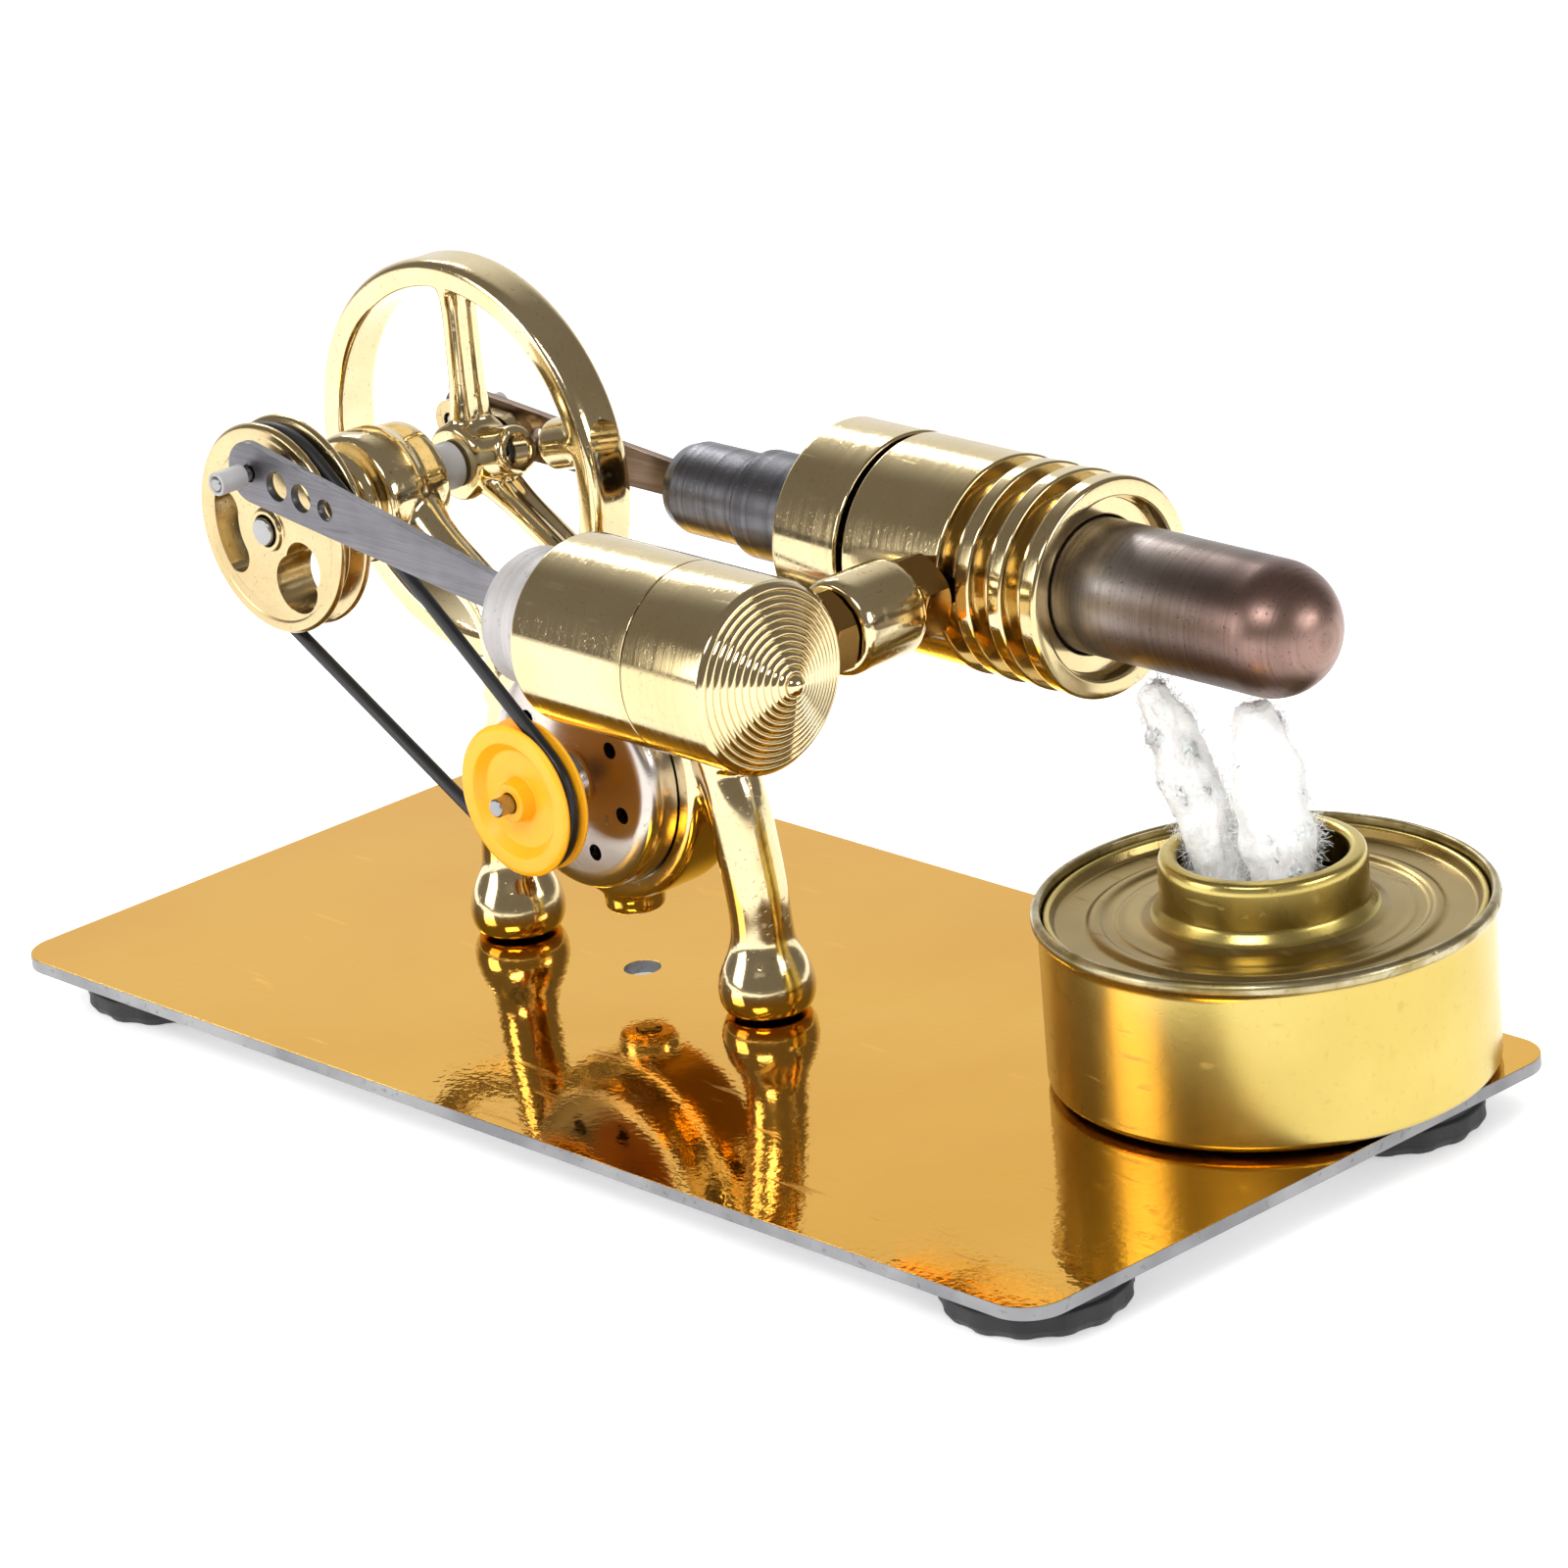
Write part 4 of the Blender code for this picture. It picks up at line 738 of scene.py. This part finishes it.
rodSettings = {
    "power_con_rod": {"body": "power_rod", "pin": "power_pin_end", "wrist": "power_wrist_pin",
        "finish": "rodSteel"},
    "displacer_con_rod": {"body": "displacer_rod", "pin": "displacer_pin_end", "wrist": "displacer_clevis_pin",
        "finish": "brownRodSteel"},
}


def makeRods():
    big, small = 3.3, 1.75
    for node, s in rodSettings.items():
        low, high = span(node)
        pin, wrist = middle(s["pin"]), middle(s["wrist"])
        ahead = Vector((pin.x - wrist.x, pin.z - wrist.z))
        length = ahead.length
        heading = math.atan2(ahead.y, ahead.x)
        taper = math.asin((big - small) / length)
        side = math.pi / 2 + taper
        outline = arcPoints((length, 0), big, -side, side, 28) + arcPoints((0, 0), small, side,
                2 * math.pi - side, 20)
        turn = Matrix.Rotation(heading, 2)
        outline = [turn @ Vector(p) for p in outline]
        mesh = prism(node, outline, low.y, high.y, 0, "y", Vector((wrist.x, 0, wrist.z)))
        cutters = []
        for reach, radius in ((0, 0.95), (length, 0.95), (length - 4.35, 1.6), (length - 8.2, 1.5),
                (length - 12, 1.15)):
            spot = turn @ Vector((reach, 0))
            cutters.append(rodMesh("hole", Vector((wrist.x + spot.x, 0, wrist.z + spot.y)), "y", low.y - 1,
                    high.y + 1, radius, 32))
        mesh = modified(mesh, [bevelled(0.1, 2, 50)], cutters)
        linkMesh("look_" + node, smoothed(mesh, 40), s["finish"], s["body"], (node,))


coneSettings = {"ridges": 12, "ridgeHeight": 0.24, "coneLength": 3.4, "tip": 1.1}


def makePowerCylinder():
    low, high = span("power_cylinder_liner")
    bore, outer = 5.9, (high.z - low.z) / 2
    port = rodMesh("port", middle("transfer_tube"), "y", powerMid.y, 0, 1.2)
    turnedPiece("power_cylinder_liner", "base", [(low.x, bore), (low.x, outer - 0.75), (low.x + 1.2, outer),
            (high.x, outer), (high.x, bore)], powerMid, "x", "linerAlloy", True, 0.12, 144, [port])
    low, high = span("power_cylinder_jacket")
    radius = (high.z - low.z) / 2
    inner = outer + 0.2
    turnedPiece("power_cylinder_jacket", "base", [(low.x, inner), (low.x, radius, 0.35),
            (high.x + 0.1, radius, 0.12), (high.x + 0.1, inner)], powerMid, "x", "paleGoldTurned", True, 0.2,
            192)
    s = coneSettings
    low, high = span("power_cylinder_head")
    face = high.x - s["coneLength"] - 0.94
    profile = [(low.x - 0.1, 0), (low.x - 0.1, radius - 0.1), (low.x, radius), (face - 0.3, radius),
            (face, radius - 0.3)]
    rim = radius - 0.3
    for index in range(s["ridges"]):
        for step in range(1, 9):
            share = (index + step / 8) / s["ridges"]
            lift = s["ridgeHeight"] * math.sin(math.pi * step / 8) ** 0.7 - 0.06
            profile.append((face + s["coneLength"] * share + lift, rim + (s["tip"] - rim) * share))
    last = profile[-1][0]
    profile += [(last + 0.1, s["tip"] + 0.02)]
    profile += [(last + 0.1 + 0.84 * math.sin(a), (s["tip"]) * math.cos(a)) for a in (0.5, 0.9,
            1.25)] + [(high.x, 0)]
    mesh = lathe("head", profile, powerMid, "x", 192)
    hollow = rodMesh("hollow", powerMid, "x", low.x - 1, face - 2.1, inner, 96)
    side = rodMesh("port", middle("transfer_tube"), "y", powerMid.y, powerMid.y + radius + 2, 2.2)
    mesh = modified(mesh, [], [hollow, side])
    linkMesh("look_power_cylinder_head", smoothed(mesh, 75), "paleGoldTurned", "base", ("power_cylinder_head",))
    low, high = span("power_piston")
    outer = (high.z - low.z) / 2
    wrist = middle("power_wrist_pin")
    cutters = [rodMesh("pocket", wrist, "x", low.x - 2, high.x - 1.6, outer - 1.1, 64),
            rodMesh("pinHole", wrist, "y", wrist.y - 9, wrist.y + 9, 0.85, 24)]
    turnedPiece("power_piston", "power_piston_set", [(low.x, 0), (low.x, outer), (low.x + 2.2, outer),
            (low.x + 2.3, outer - 0.15), (low.x + 2.6, outer - 0.15), (low.x + 2.7, outer), (high.x, outer),
            (high.x, 0)], powerMid, "x", "plainSteel", False, 0.12, 96, cutters)


coldSettings = {"grooveStart": 24.8, "groovePitch": 4.4, "grooveWidth": 2.45, "grooves": 3, "root": 8.8}


def makeDisplacerCylinder():
    low, high = span("displacer_guide")
    outer = (high.z - low.z) / 2
    thin, step, bore = outer - 0.8, low.x + 11.3, 4.15
    profile = [(low.x, bore), (low.x, thin - 0.5), (low.x + 1.6, thin), (step, thin, 0.05), (step, outer - 0.2),
            (step + 0.25, outer), (high.x, outer), (high.x, bore)]
    turnedPiece("displacer_guide", "base", profile, coldMid, "x", "guideSteel", True, 0.12)
    inner = outer + 0.2
    low, high = span("guide_collar")
    radius = (high.z - low.z) / 2
    turnedPiece("guide_collar", "base", [(low.x, inner), (low.x, radius, 0.5), (high.x, radius, 0.35),
            (high.x, inner)], coldMid, "x", "paleGoldTurned", True, 0.3, 192)
    s = coldSettings
    low, high = span("cooling_body")
    tubeRadius = (span("hot_tube")[1].z - span("hot_tube")[0].z) / 2
    bore = tubeRadius + 0.2
    profile = [(low.x, 5.2), (low.x, radius, 0.35)]
    for index in range(s["grooves"]):
        start = s["grooveStart"] + s["groovePitch"] * index
        profile += [(start - 0.05, radius, 0.3), (start + 0.15, s["root"], 0.3),
                (start + s["grooveWidth"] - 0.15, s["root"], 0.3), (start + s["grooveWidth"] + 0.05, radius,
                0.3)]
    profile += [(high.x - 0.15, radius, 0.7), (high.x, radius - 0.8, 0.5), (high.x, bore + 2.3, 0.3),
            (high.x - 1.1, bore + 1.9, 0.2), (high.x - 2, bore + 1.8, 0.1), (high.x - 2, bore),
            (low.x + 5.9, bore), (low.x + 5.9, 5.2)]
    port = rodMesh("port", middle("transfer_tube"), "y", coldMid.y - radius - 2, coldMid.y, 2.2)
    turnedPiece("cooling_body", "base", profile, coldMid, "x", "paleGoldTurned", True, 0.2, 192, [port])
    low, high = span("hot_tube")
    outer = tubeRadius
    inside = outer - 0.5
    dome = high.x - outer
    profile = [(low.x, inside), (low.x, outer)]
    profile += [(dome + outer * math.sin(a), outer * math.cos(a)) for a in [math.pi / 2 * i / 20 for i in range(20)]]
    profile += [(high.x, 0), (high.x - 0.5, 0)]
    profile += [(dome + inside * math.sin(a), inside * math.cos(a)) for a in [math.pi / 2 * (1 - i / 20) for i in range(1, 21)]]
    mesh = lathe("tube", profile, coldMid, "x", 144, True)
    port = rodMesh("port", middle("transfer_tube"), "y", coldMid.y - outer - 2, coldMid.y, 1.2)
    mesh = modified(mesh, [], [port])
    linkMesh("look_hot_tube", smoothed(mesh, 40), "hotTubeSteel", "base", ("hot_tube",))


nutSettings = {"across": 8.0, "turn": 20}


def makeNuts():
    s = nutSettings
    reach = s["across"] / math.sqrt(3)
    for node in ("front_hex_nut", "rear_hex_nut"):
        low, high = span(node)
        centre = middle("transfer_tube")
        angles = [math.radians(60 * k + s["turn"]) for k in range(6)]
        outline = [(reach * math.cos(a), reach * math.sin(a)) for a in angles]
        mesh = prism(node, outline, low.y, high.y, 0, "y", Vector((centre.x, 0, centre.z)))
        cone = lathe("cone", [(low.y - 0.01, 0), (low.y - 0.01, reach - 0.55), (low.y + 0.5, reach + 0.05),
                (high.y - 0.5, reach + 0.05), (high.y + 0.01, reach - 0.55), (high.y + 0.01, 0)], centre, "y",
                96)
        mesh = modified(mesh, [], [cone], "INTERSECT")
        mesh = modified(mesh, [bevelled(0.1, 2, 25)], [rodMesh("bore", centre, "y", low.y - 1, high.y + 1, 2.2,
                48)])
        linkMesh("look_" + node, smoothed(mesh, 35), "nutBrass", "base", (node,))


canSettings = {"ventRadius": 0.9, "ventCircle": 8, "vents": 7, "firstVent": 34, "wall": 0.6}


def makeMotor():
    s = canSettings
    low, high = span("motor_can")
    radius = (high.x - low.x) / 2
    front, rear = low.y + 1, high.y
    profile = [(front - 1, 1.2), (front - 1, 2.9), (front - 0.15, 3.1, 0.05), (front, 3.4),
            (front, radius - 1.6, 0.6), (front + 0.4, radius - 0.4, 0.5), (front + 1.4, radius, 0.5),
            (rear - 1, radius), (rear, radius - 0.05), (rear, radius - s["wall"]),
            (front + 0.8, radius - s["wall"]), (front + 0.8, 1.2)]
    cutters = []
    for index in range(s["vents"]):
        angle = math.radians(s["firstVent"] - 360 / s["vents"] * index)
        spot = motorMid + Vector((s["ventCircle"] * math.cos(angle), 0, s["ventCircle"] * math.sin(angle)))
        cutters.append(rodMesh("vent", spot, "y", front - 2, front + 3, s["ventRadius"], 32))
    dimple = lathe("dimple", [(-2, 0), (-2, 0.9), (0.15, 0.5), (0.3, 0)], motorMid + Vector((5.2, 0, -3.4)),
            "y", 32)
    dimple.transform(Matrix.Translation((0, front * mm, 0)))
    turnedPiece("motor_can", "base", profile, motorMid, "y", "zincCan", True, 0.2, 160, [*cutters, dimple])
    low, high = span("motor_pulley")
    radius = (high.x - low.x) / 2
    front, back = low.y + 0.5, high.y - 0.4
    mid = (front + back) / 2
    profile = [(front - 0.5, 1.1), (front - 0.5, 2.05), (front + 1.2, 2.35), (front + 1.2, 5.2),
            (front + 0.25, 6.0), (front + 0.05, 6.2, 0.1), (front, 7.6), (front + 0.3, radius),
            (front + 0.62, radius), (mid - 0.7, 6.3), (mid + 0.7, 6.3), (back - 0.6, radius),
            (back - 0.3, radius), (back, 7.6), (back, 2.4), (back + 0.4, 2.4), (back + 0.4, 1.1)]
    turnedPiece("motor_pulley", "motor_armature", profile, motorMid, "y", "pulleyPlastic", True, 0.18, 144)


beltSettings = {"radius": 0.72, "big": 10.34, "small": 7.14}


def makeBelt():
    s = beltSettings
    y = middle("drive_belt").y
    start, end = Vector((crankCentre.x, crankCentre.z)), Vector((motorMid.x, motorMid.z))
    gap = end - start
    heading = math.atan2(gap.y, gap.x)
    lean = math.acos((s["big"] - s["small"]) / gap.length)
    points = []
    for centre, radius, first, last, steps in ((start, s["big"], heading + lean, heading + 2 * math.pi - lean,
            64), (end, s["small"], heading - lean, heading + lean, 48)):
        points += arcPoints(centre, radius, first, last, steps)
        ahead = (end, s["small"], heading - lean) if centre is start else (start, s["big"], heading + lean)
        arrive = ahead[0] + ahead[1] * Vector((math.cos(ahead[2]), math.sin(ahead[2])))
        points += [points[-1].lerp(arrive, share / 10) for share in range(1, 10)]
    path = [Vector((p.x, y, p.y)) for p in points]
    mesh = sweep("belt", path, [s["radius"]] * len(path), 20, True)
    mesh.shade_smooth()
    linkMesh("look_drive_belt", mesh, "beltRubber", "base", ("drive_belt",))


tinSettings = {"wall": 0.4, "neck": 10.3, "opening": 8.4}


def makeBurner():
    s = tinSettings
    low, high = span("burner_can")
    rim = (high.x - low.x) / 2
    radius = rim - 0.67
    inner = radius - s["wall"]
    top = high.z
    profile = [(low.z, 0), (low.z, radius - 1.2, 0.2), (low.z + 0.1, radius - 0.6, 0.4),
            (low.z + 0.6, radius, 0.4), (top - 2.1, radius, 0.4), (top - 1.6, radius + 0.1, 0.2),
            (top - 1.25, rim - 0.05, 0.3), (top - 0.5, rim, 0.4), (top, rim - 0.45, 0.4),
            (top - 0.1, inner + 0.1, 0.2), (top - 1, inner, 0.2), (low.z + 0.9, inner, 0.3),
            (low.z + 0.5, inner - 0.5, 0.3), (low.z + 0.5, 0)]
    mesh = smoothed(lathe("can", rounded(profile, 0.25, 4), canMid, "z", 192), 60)
    linkMesh("look_burner_can", mesh, ("lacqueredTin", "scuffedTin"), "burner", ("burner_can",))
    for face in mesh.polygons:
        face.material_index = 1 if face.center.z > (top - 1.5) * mm or face.center.z < (low.z + 0.5) * mm else 0
    low, high = span("burner_lid")
    outer = (high.x - low.x) / 2
    deck, head = low.z + 0.4, high.z
    neck, hole = s["neck"], s["opening"]
    profile = [(deck + 1.2, outer), (deck + 1.2, outer - 0.6), (deck + 0.1, outer - 1.1), (deck, 17.7),
            (deck + 0.4, 17.2), (deck + 0.4, 16.4), (deck, 15.9), (deck + 0.02, 14.9), (deck + 0.12, 14.6),
            (deck + 0.1, 13.8), (deck + 0.3, neck + 1.9), (deck + 0.9, neck + 0.7), (deck + 2, neck),
            (head - 0.9, neck, 0.5), (head - 0.15, neck - 0.25, 0.4), (head, neck - 0.9, 0.3),
            (head, hole + 0.4, 0.3), (head - 0.4, hole, 0.2), (head - 1, hole, 0.1), (head - 1, hole + 0.4),
            (head - 0.9, neck - 0.4), (deck + 1.9, neck - 0.4), (deck + 0.5, neck + 0.3),
            (deck - 0.1, neck + 1.9), (deck - 0.35, 13.8), (deck - 0.4, 15.9), (deck, 16.4), (deck, 17.2),
            (deck - 0.4, 17.7), (deck - 0.4, outer - 0.8), (deck - 0.1, outer)]
    mesh = smoothed(lathe("lid", rounded(profile, 0.3, 4, True), canMid, "z", 192, True), 60)
    linkMesh("look_burner_lid", mesh, ("lidTin", "lacqueredTin"), "burner", ("burner_lid",))
    # faces above deck + 0.8 mm (the neck and the top of the lid) get the lighter lacquered can tin, and faces below
    # get the darker lid tin: the brighter neck is a painted highlight
    for face in mesh.polygons:
        face.material_index = 1 if face.center.z > (deck + 0.8) * mm else 0


wickSettings = {
    "left": {"points": [(-3.4, -1.2, 6, 1.9), (-4, -1.4, 14, 2.2), (-4.6, -1.4, 19, 2.6),
        (-5.4, -1.2, 23, 2.75), (-7.6, -1, 27.8, 2.85), (-10.3, -1, 33, 2.5), (-12.7, -1.2, 37.6, 1.5)],
        "seed": 3},
    "right": {"points": [(2.4, 0.8, 6, 2), (3, 0.4, 14, 2.4), (3.2, -0.4, 19, 3), (2.6, -0.5, 24, 3.6),
        (2, -0.3, 29, 3.6), (0.9, -0.2, 34, 2.9), (0.2, -0.2, 38, 1.8)], "seed": 8},
    "fibres": 3400, "fibreLength": 0.0014, "fibreRadius": 0.00002,
}


fibreNodes = {
    "inputs": "NodeGroupInput", "outputs": "NodeGroupOutput", "scatter": "GeometryNodeDistributePointsOnFaces",
    "hair": "GeometryNodeCurveQuadraticBezier", "profile": "GeometryNodeCurvePrimitiveCircle",
    "tube": "GeometryNodeCurveToMesh", "scaled": "GeometryNodeTransform", "grow": "ShaderNodeCombineXYZ",
    "place": "GeometryNodeInstanceOnPoints", "spin": "FunctionNodeRandomValue",
        "turn": "FunctionNodeRotateEuler",
    "size": "FunctionNodeRandomValue", "join": "GeometryNodeJoinGeometry",
        "real": "GeometryNodeRealizeInstances",
    "paint": "GeometryNodeSetMaterial",
}
fibreValues = [
    ("hair", "Resolution", 3), ("hair", "Start", (0, 0, -0.1)), ("hair", "Middle", (0.1, 0, 0.5)),
    ("hair", "End", (0.75, 0.2, 0.75)), ("profile", "Resolution", 3), ("spin", 0, (-0.9, -0.9, 0)),
    ("spin", 1, (0.9, 0.9, 6.28)), ("size", 2, 0.5), ("size", 3, 1.3), ("paint", "Material",
        finishes["wickCotton"]),
]
fibreLinks = [
    ("inputs", "Geometry", "scatter", "Mesh"), ("inputs", "Count Density", "scatter", "Density"),
    ("inputs", "Seed", "scatter", "Seed"), ("inputs", "Thickness", "profile", "Radius"),
    ("inputs", "Length", "grow", "X"), ("inputs", "Length", "grow", "Y"), ("inputs", "Length", "grow", "Z"),
    ("hair", "Curve", "scaled", "Geometry"), ("grow", "Vector", "scaled", "Scale"),
    ("scaled", "Geometry", "tube", "Curve"), ("profile", "Curve", "tube", "Profile Curve"),
    ("scatter", "Points", "place", "Points"), ("tube", "Mesh", "place", "Instance"),
    ("inputs", "Seed", "spin", "Seed"), ("scatter", "Rotation", "turn", "Rotation"),
    ("spin", 0, "turn", "Rotate By"), ("turn", "Rotation", "place", "Rotation"), ("size", 1, "place", "Scale"),
    ("place", "Instances", "join", 0), ("inputs", "Geometry", "join", 0), ("join", 0, "real", "Geometry"),
    ("real", "Geometry", "paint", "Geometry"), ("paint", "Geometry", "outputs", 0),
]


def fibreTree():
    # scatters short bent hairs over a surface
    tree = bpy.data.node_groups.new("fibreFuzz", "GeometryNodeTree")
    for label, way, kind in (("Geometry", "INPUT", "Geometry"), ("Count Density", "INPUT", "Float"),
            ("Length", "INPUT", "Float"), ("Thickness", "INPUT", "Float"), ("Seed", "INPUT", "Int"),
            ("Geometry", "OUTPUT", "Geometry")):
        tree.interface.new_socket(label, in_out=way, socket_type="NodeSocket" + kind)
    made = {name: tree.nodes.new(kind) for name, kind in fibreNodes.items()}
    made["spin"].data_type = "FLOAT_VECTOR"
    made["turn"].space = "LOCAL"
    for name, label, value in fibreValues:
        made[name].inputs[label].default_value = value
    for source, output, target, slot in fibreLinks:
        tree.links.new(made[source].outputs[output], made[target].inputs[slot])
    return tree


def makeWicks():
    s = wickSettings
    tree = fibreTree()
    keys = {item.name: item.identifier for item in tree.interface.items_tree if item.in_out == "INPUT"}
    base = span("burner_can")[0]
    for side in ("left", "right"):
        w = s[side]
        route = smoothPath(w["points"], 10)
        path = [Vector((canMid.x + p[0], canMid.y + p[1], base.z + p[2])) for p in route]
        radii = [p[3] * (0.96 if i < len(route) - 2 else 0.7) for i, p in enumerate(route)]
        mesh = sweep("wick", path, radii, 40)
        mesh = modified(mesh, [("REMESH", {"mode": "VOXEL", "voxel_size": 0.22 * mm, "use_smooth_shade": True}),
                ("SMOOTH", {"factor": 0.5, "iterations": 6})])
        for corner in mesh.vertices:
            spot = corner.co / mm
            # twisted strands with cottony lumps
            lump = noise.noise(Vector((spot.x, spot.y, spot.z * 0.7)) * 0.42 + Vector((w["seed"], 0, 0)))
            strand = noise.noise(Vector((spot.x * 1.9, spot.y * 1.9, spot.z * 0.35)) + Vector((0, w["seed"],
                    0)))
            fine = noise.noise(spot * 3.2)
            corner.co += corner.normal * mm * (0.7 * lump + 0.2 * strand + 0.05 * fine - 0.05)
        item = bpy.data.objects.new("wickBase", mesh)
        scene.collection.objects.link(item)
        area = sum(face.area for face in mesh.polygons)
        fuzz = item.modifiers.new("fuzz", "NODES")
        fuzz.node_group = tree
        fuzz[keys["Count Density"]] = s["fibres"] / area
        fuzz[keys["Length"]] = s["fibreLength"]
        fuzz[keys["Thickness"]] = s["fibreRadius"]
        fuzz[keys["Seed"]] = w["seed"]
        bpy.context.view_layer.update()
        made = bpy.data.meshes.new_from_object(item.evaluated_get(bpy.context.evaluated_depsgraph_get()))
        bpy.data.objects.remove(item)
        made.shade_smooth()
        linkMesh("look_burner_wick_" + side, made, "wickCotton", "burner", ("burner_wick_" + side,))


packedFinishes = {
    "leg_screw_left": "plainSteel", "leg_screw_right": "plainSteel", "motor_clamp_screw": "plainSteel",
    "transfer_tube": "nutBrass", "rod_gland": "nutBrass", "displacer_crosshead": "nutBrass",
    "displacer_push_rod": "plainSteel", "displacer_piston": "guideSteel",
    "displacer_clevis_pin": "plainSteel",
    "power_wrist_pin": "plainSteel", "flywheel_grub_screw": "plainSteel", "rear_crank_arm": "satinGoldDisc",
    "motor_end_cap": "blackSeal", "motor_terminal_left": "copperWire", "motor_terminal_right": "copperWire",
    "motor_rotor": "copperWire",
}


def paintPacked():
    for node, finish in packedFinishes.items():
        for each in nodes[node].material_slots:
            each.material = finishes[finish]


makePlate()
makeFeet()
print("base ready")
makeFrame()
makeFlywheel()
print("castings ready")
makeDisc()
makePins()
makeRods()
print("crank gear ready")
makePowerCylinder()
makeDisplacerCylinder()
makeNuts()
print("cylinders ready")
makeMotor()
makeBelt()
print("generator ready")
makeBurner()
makeWicks()
print("burner ready")
paintPacked()


cameraSettings = {"focal": 6584.0, "azimuth": 47.13, "elevation": 19.26, "roll": -4.78,
        "place": (458.6, -408.1, 252.1), "aim": (-66.4, 143.2)}


def makeCamera():
    s = cameraSettings
    a, e, r = (math.radians(s[k]) for k in ("azimuth", "elevation", "roll"))
    back = Vector((math.sin(a) * math.cos(e), -math.cos(a) * math.cos(e), math.sin(e)))
    right = Vector((math.cos(a), math.sin(a), 0))
    up = back.cross(right)
    tiltedRight = math.cos(r) * right + math.sin(r) * up
    tiltedUp = -math.sin(r) * right + math.cos(r) * up
    forward = (-back * s["focal"] + tiltedRight * s["aim"][0] - tiltedUp * s["aim"][1]).normalized()
    side = forward.cross(tiltedUp).normalized()
    top = side.cross(forward)
    data = bpy.data.cameras.new("camera")
    data.sensor_width = 36
    data.lens = s["focal"] / 1600 * 36
    data.clip_end = 10
    item = bpy.data.objects.new("camera", data)
    scene.collection.objects.link(item)
    turn = Matrix((side, top, -forward)).transposed().to_4x4()
    item.matrix_world = Matrix.Translation((Vector(s["place"]) + Vector((0, 0, plateHigh.z))) * mm) @ turn
    scene.camera = item


def makeStudio():
    floor = bpy.data.meshes.new("floor")
    size = 4
    floor.from_pydata([(-size, -size, 0), (size, -size, 0), (size, size, 0), (-size, size, 0)], [],
            [(0, 1, 2, 3)])
    item = linkMesh("studio_floor", floor, "studioFloor")
    world = bpy.data.worlds.new("studio")
    scene.world = world
    world.use_nodes = True
    tree = world.node_tree
    background = tree.nodes["Background"]
    where = tree.nodes.new("ShaderNodeTexCoord").outputs["Generated"]
    separate = tree.nodes.new("ShaderNodeSeparateXYZ")
    tree.links.new(where, separate.inputs[0])
    # white paper stands behind the engine, and a dim room fills the other directions
    behind = mathNode(tree, "ADD", mathNode(tree, "MULTIPLY", separate.outputs["X"], -0.733),
            mathNode(tree, "MULTIPLY", separate.outputs["Y"], 0.68))
    paper = tree.nodes.new("ShaderNodeMapRange")
    paper.interpolation_type = "SMOOTHSTEP"
    paper.inputs["From Min"].default_value = 0.42
    paper.inputs["From Max"].default_value = 0.93
    tree.links.new(behind, paper.inputs["Value"])
    colour = mixColour(tree, paper.outputs["Result"], (0.22, 0.2, 0.18, 1), (0.97, 0.97, 0.97, 1))
    tree.links.new(colour, background.inputs["Color"])
    background.inputs["Strength"].default_value = 1
    # name, place, width, height, power, seen in reflections
    lights = [("fillLight", (0.1, -0.3, 1.1), 1.7, 1.7, 17, False), ("frontFill", (0.75, -0.75, 0.45), 0.6, 0.4,
            1.7, False), ("sidePaper", (-0.5, -0.95, 0.34), 0.55, 0.5, 3.2, True),
            ("keyLight", (0.35, -0.75, 0.75), 0.5, 0.22, 3.4, True), ("leftStrip", (-0.85, 0.42, 0.72), 0.5,
            0.12, 2.2, True), ("rightStrip", (0.9, 0.25, 0.35), 0.5, 0.2, 2.2, True)]
    for name, place, width, height, power, shiny in lights:
        data = bpy.data.lights.new(name, "AREA")
        data.shape = "RECTANGLE"
        data.size = width
        data.size_y = height
        data.energy = power
        item = bpy.data.objects.new(name, data)
        scene.collection.objects.link(item)
        item.location = place
        item.rotation_euler = (Vector((0, 0, 0.04)) - Vector(place)).to_track_quat("-Z", "Y").to_euler()
        item.visible_glossy = shiny


makeCamera()
makeStudio()
scene.view_settings.view_transform = "Standard"
print("studio ready")
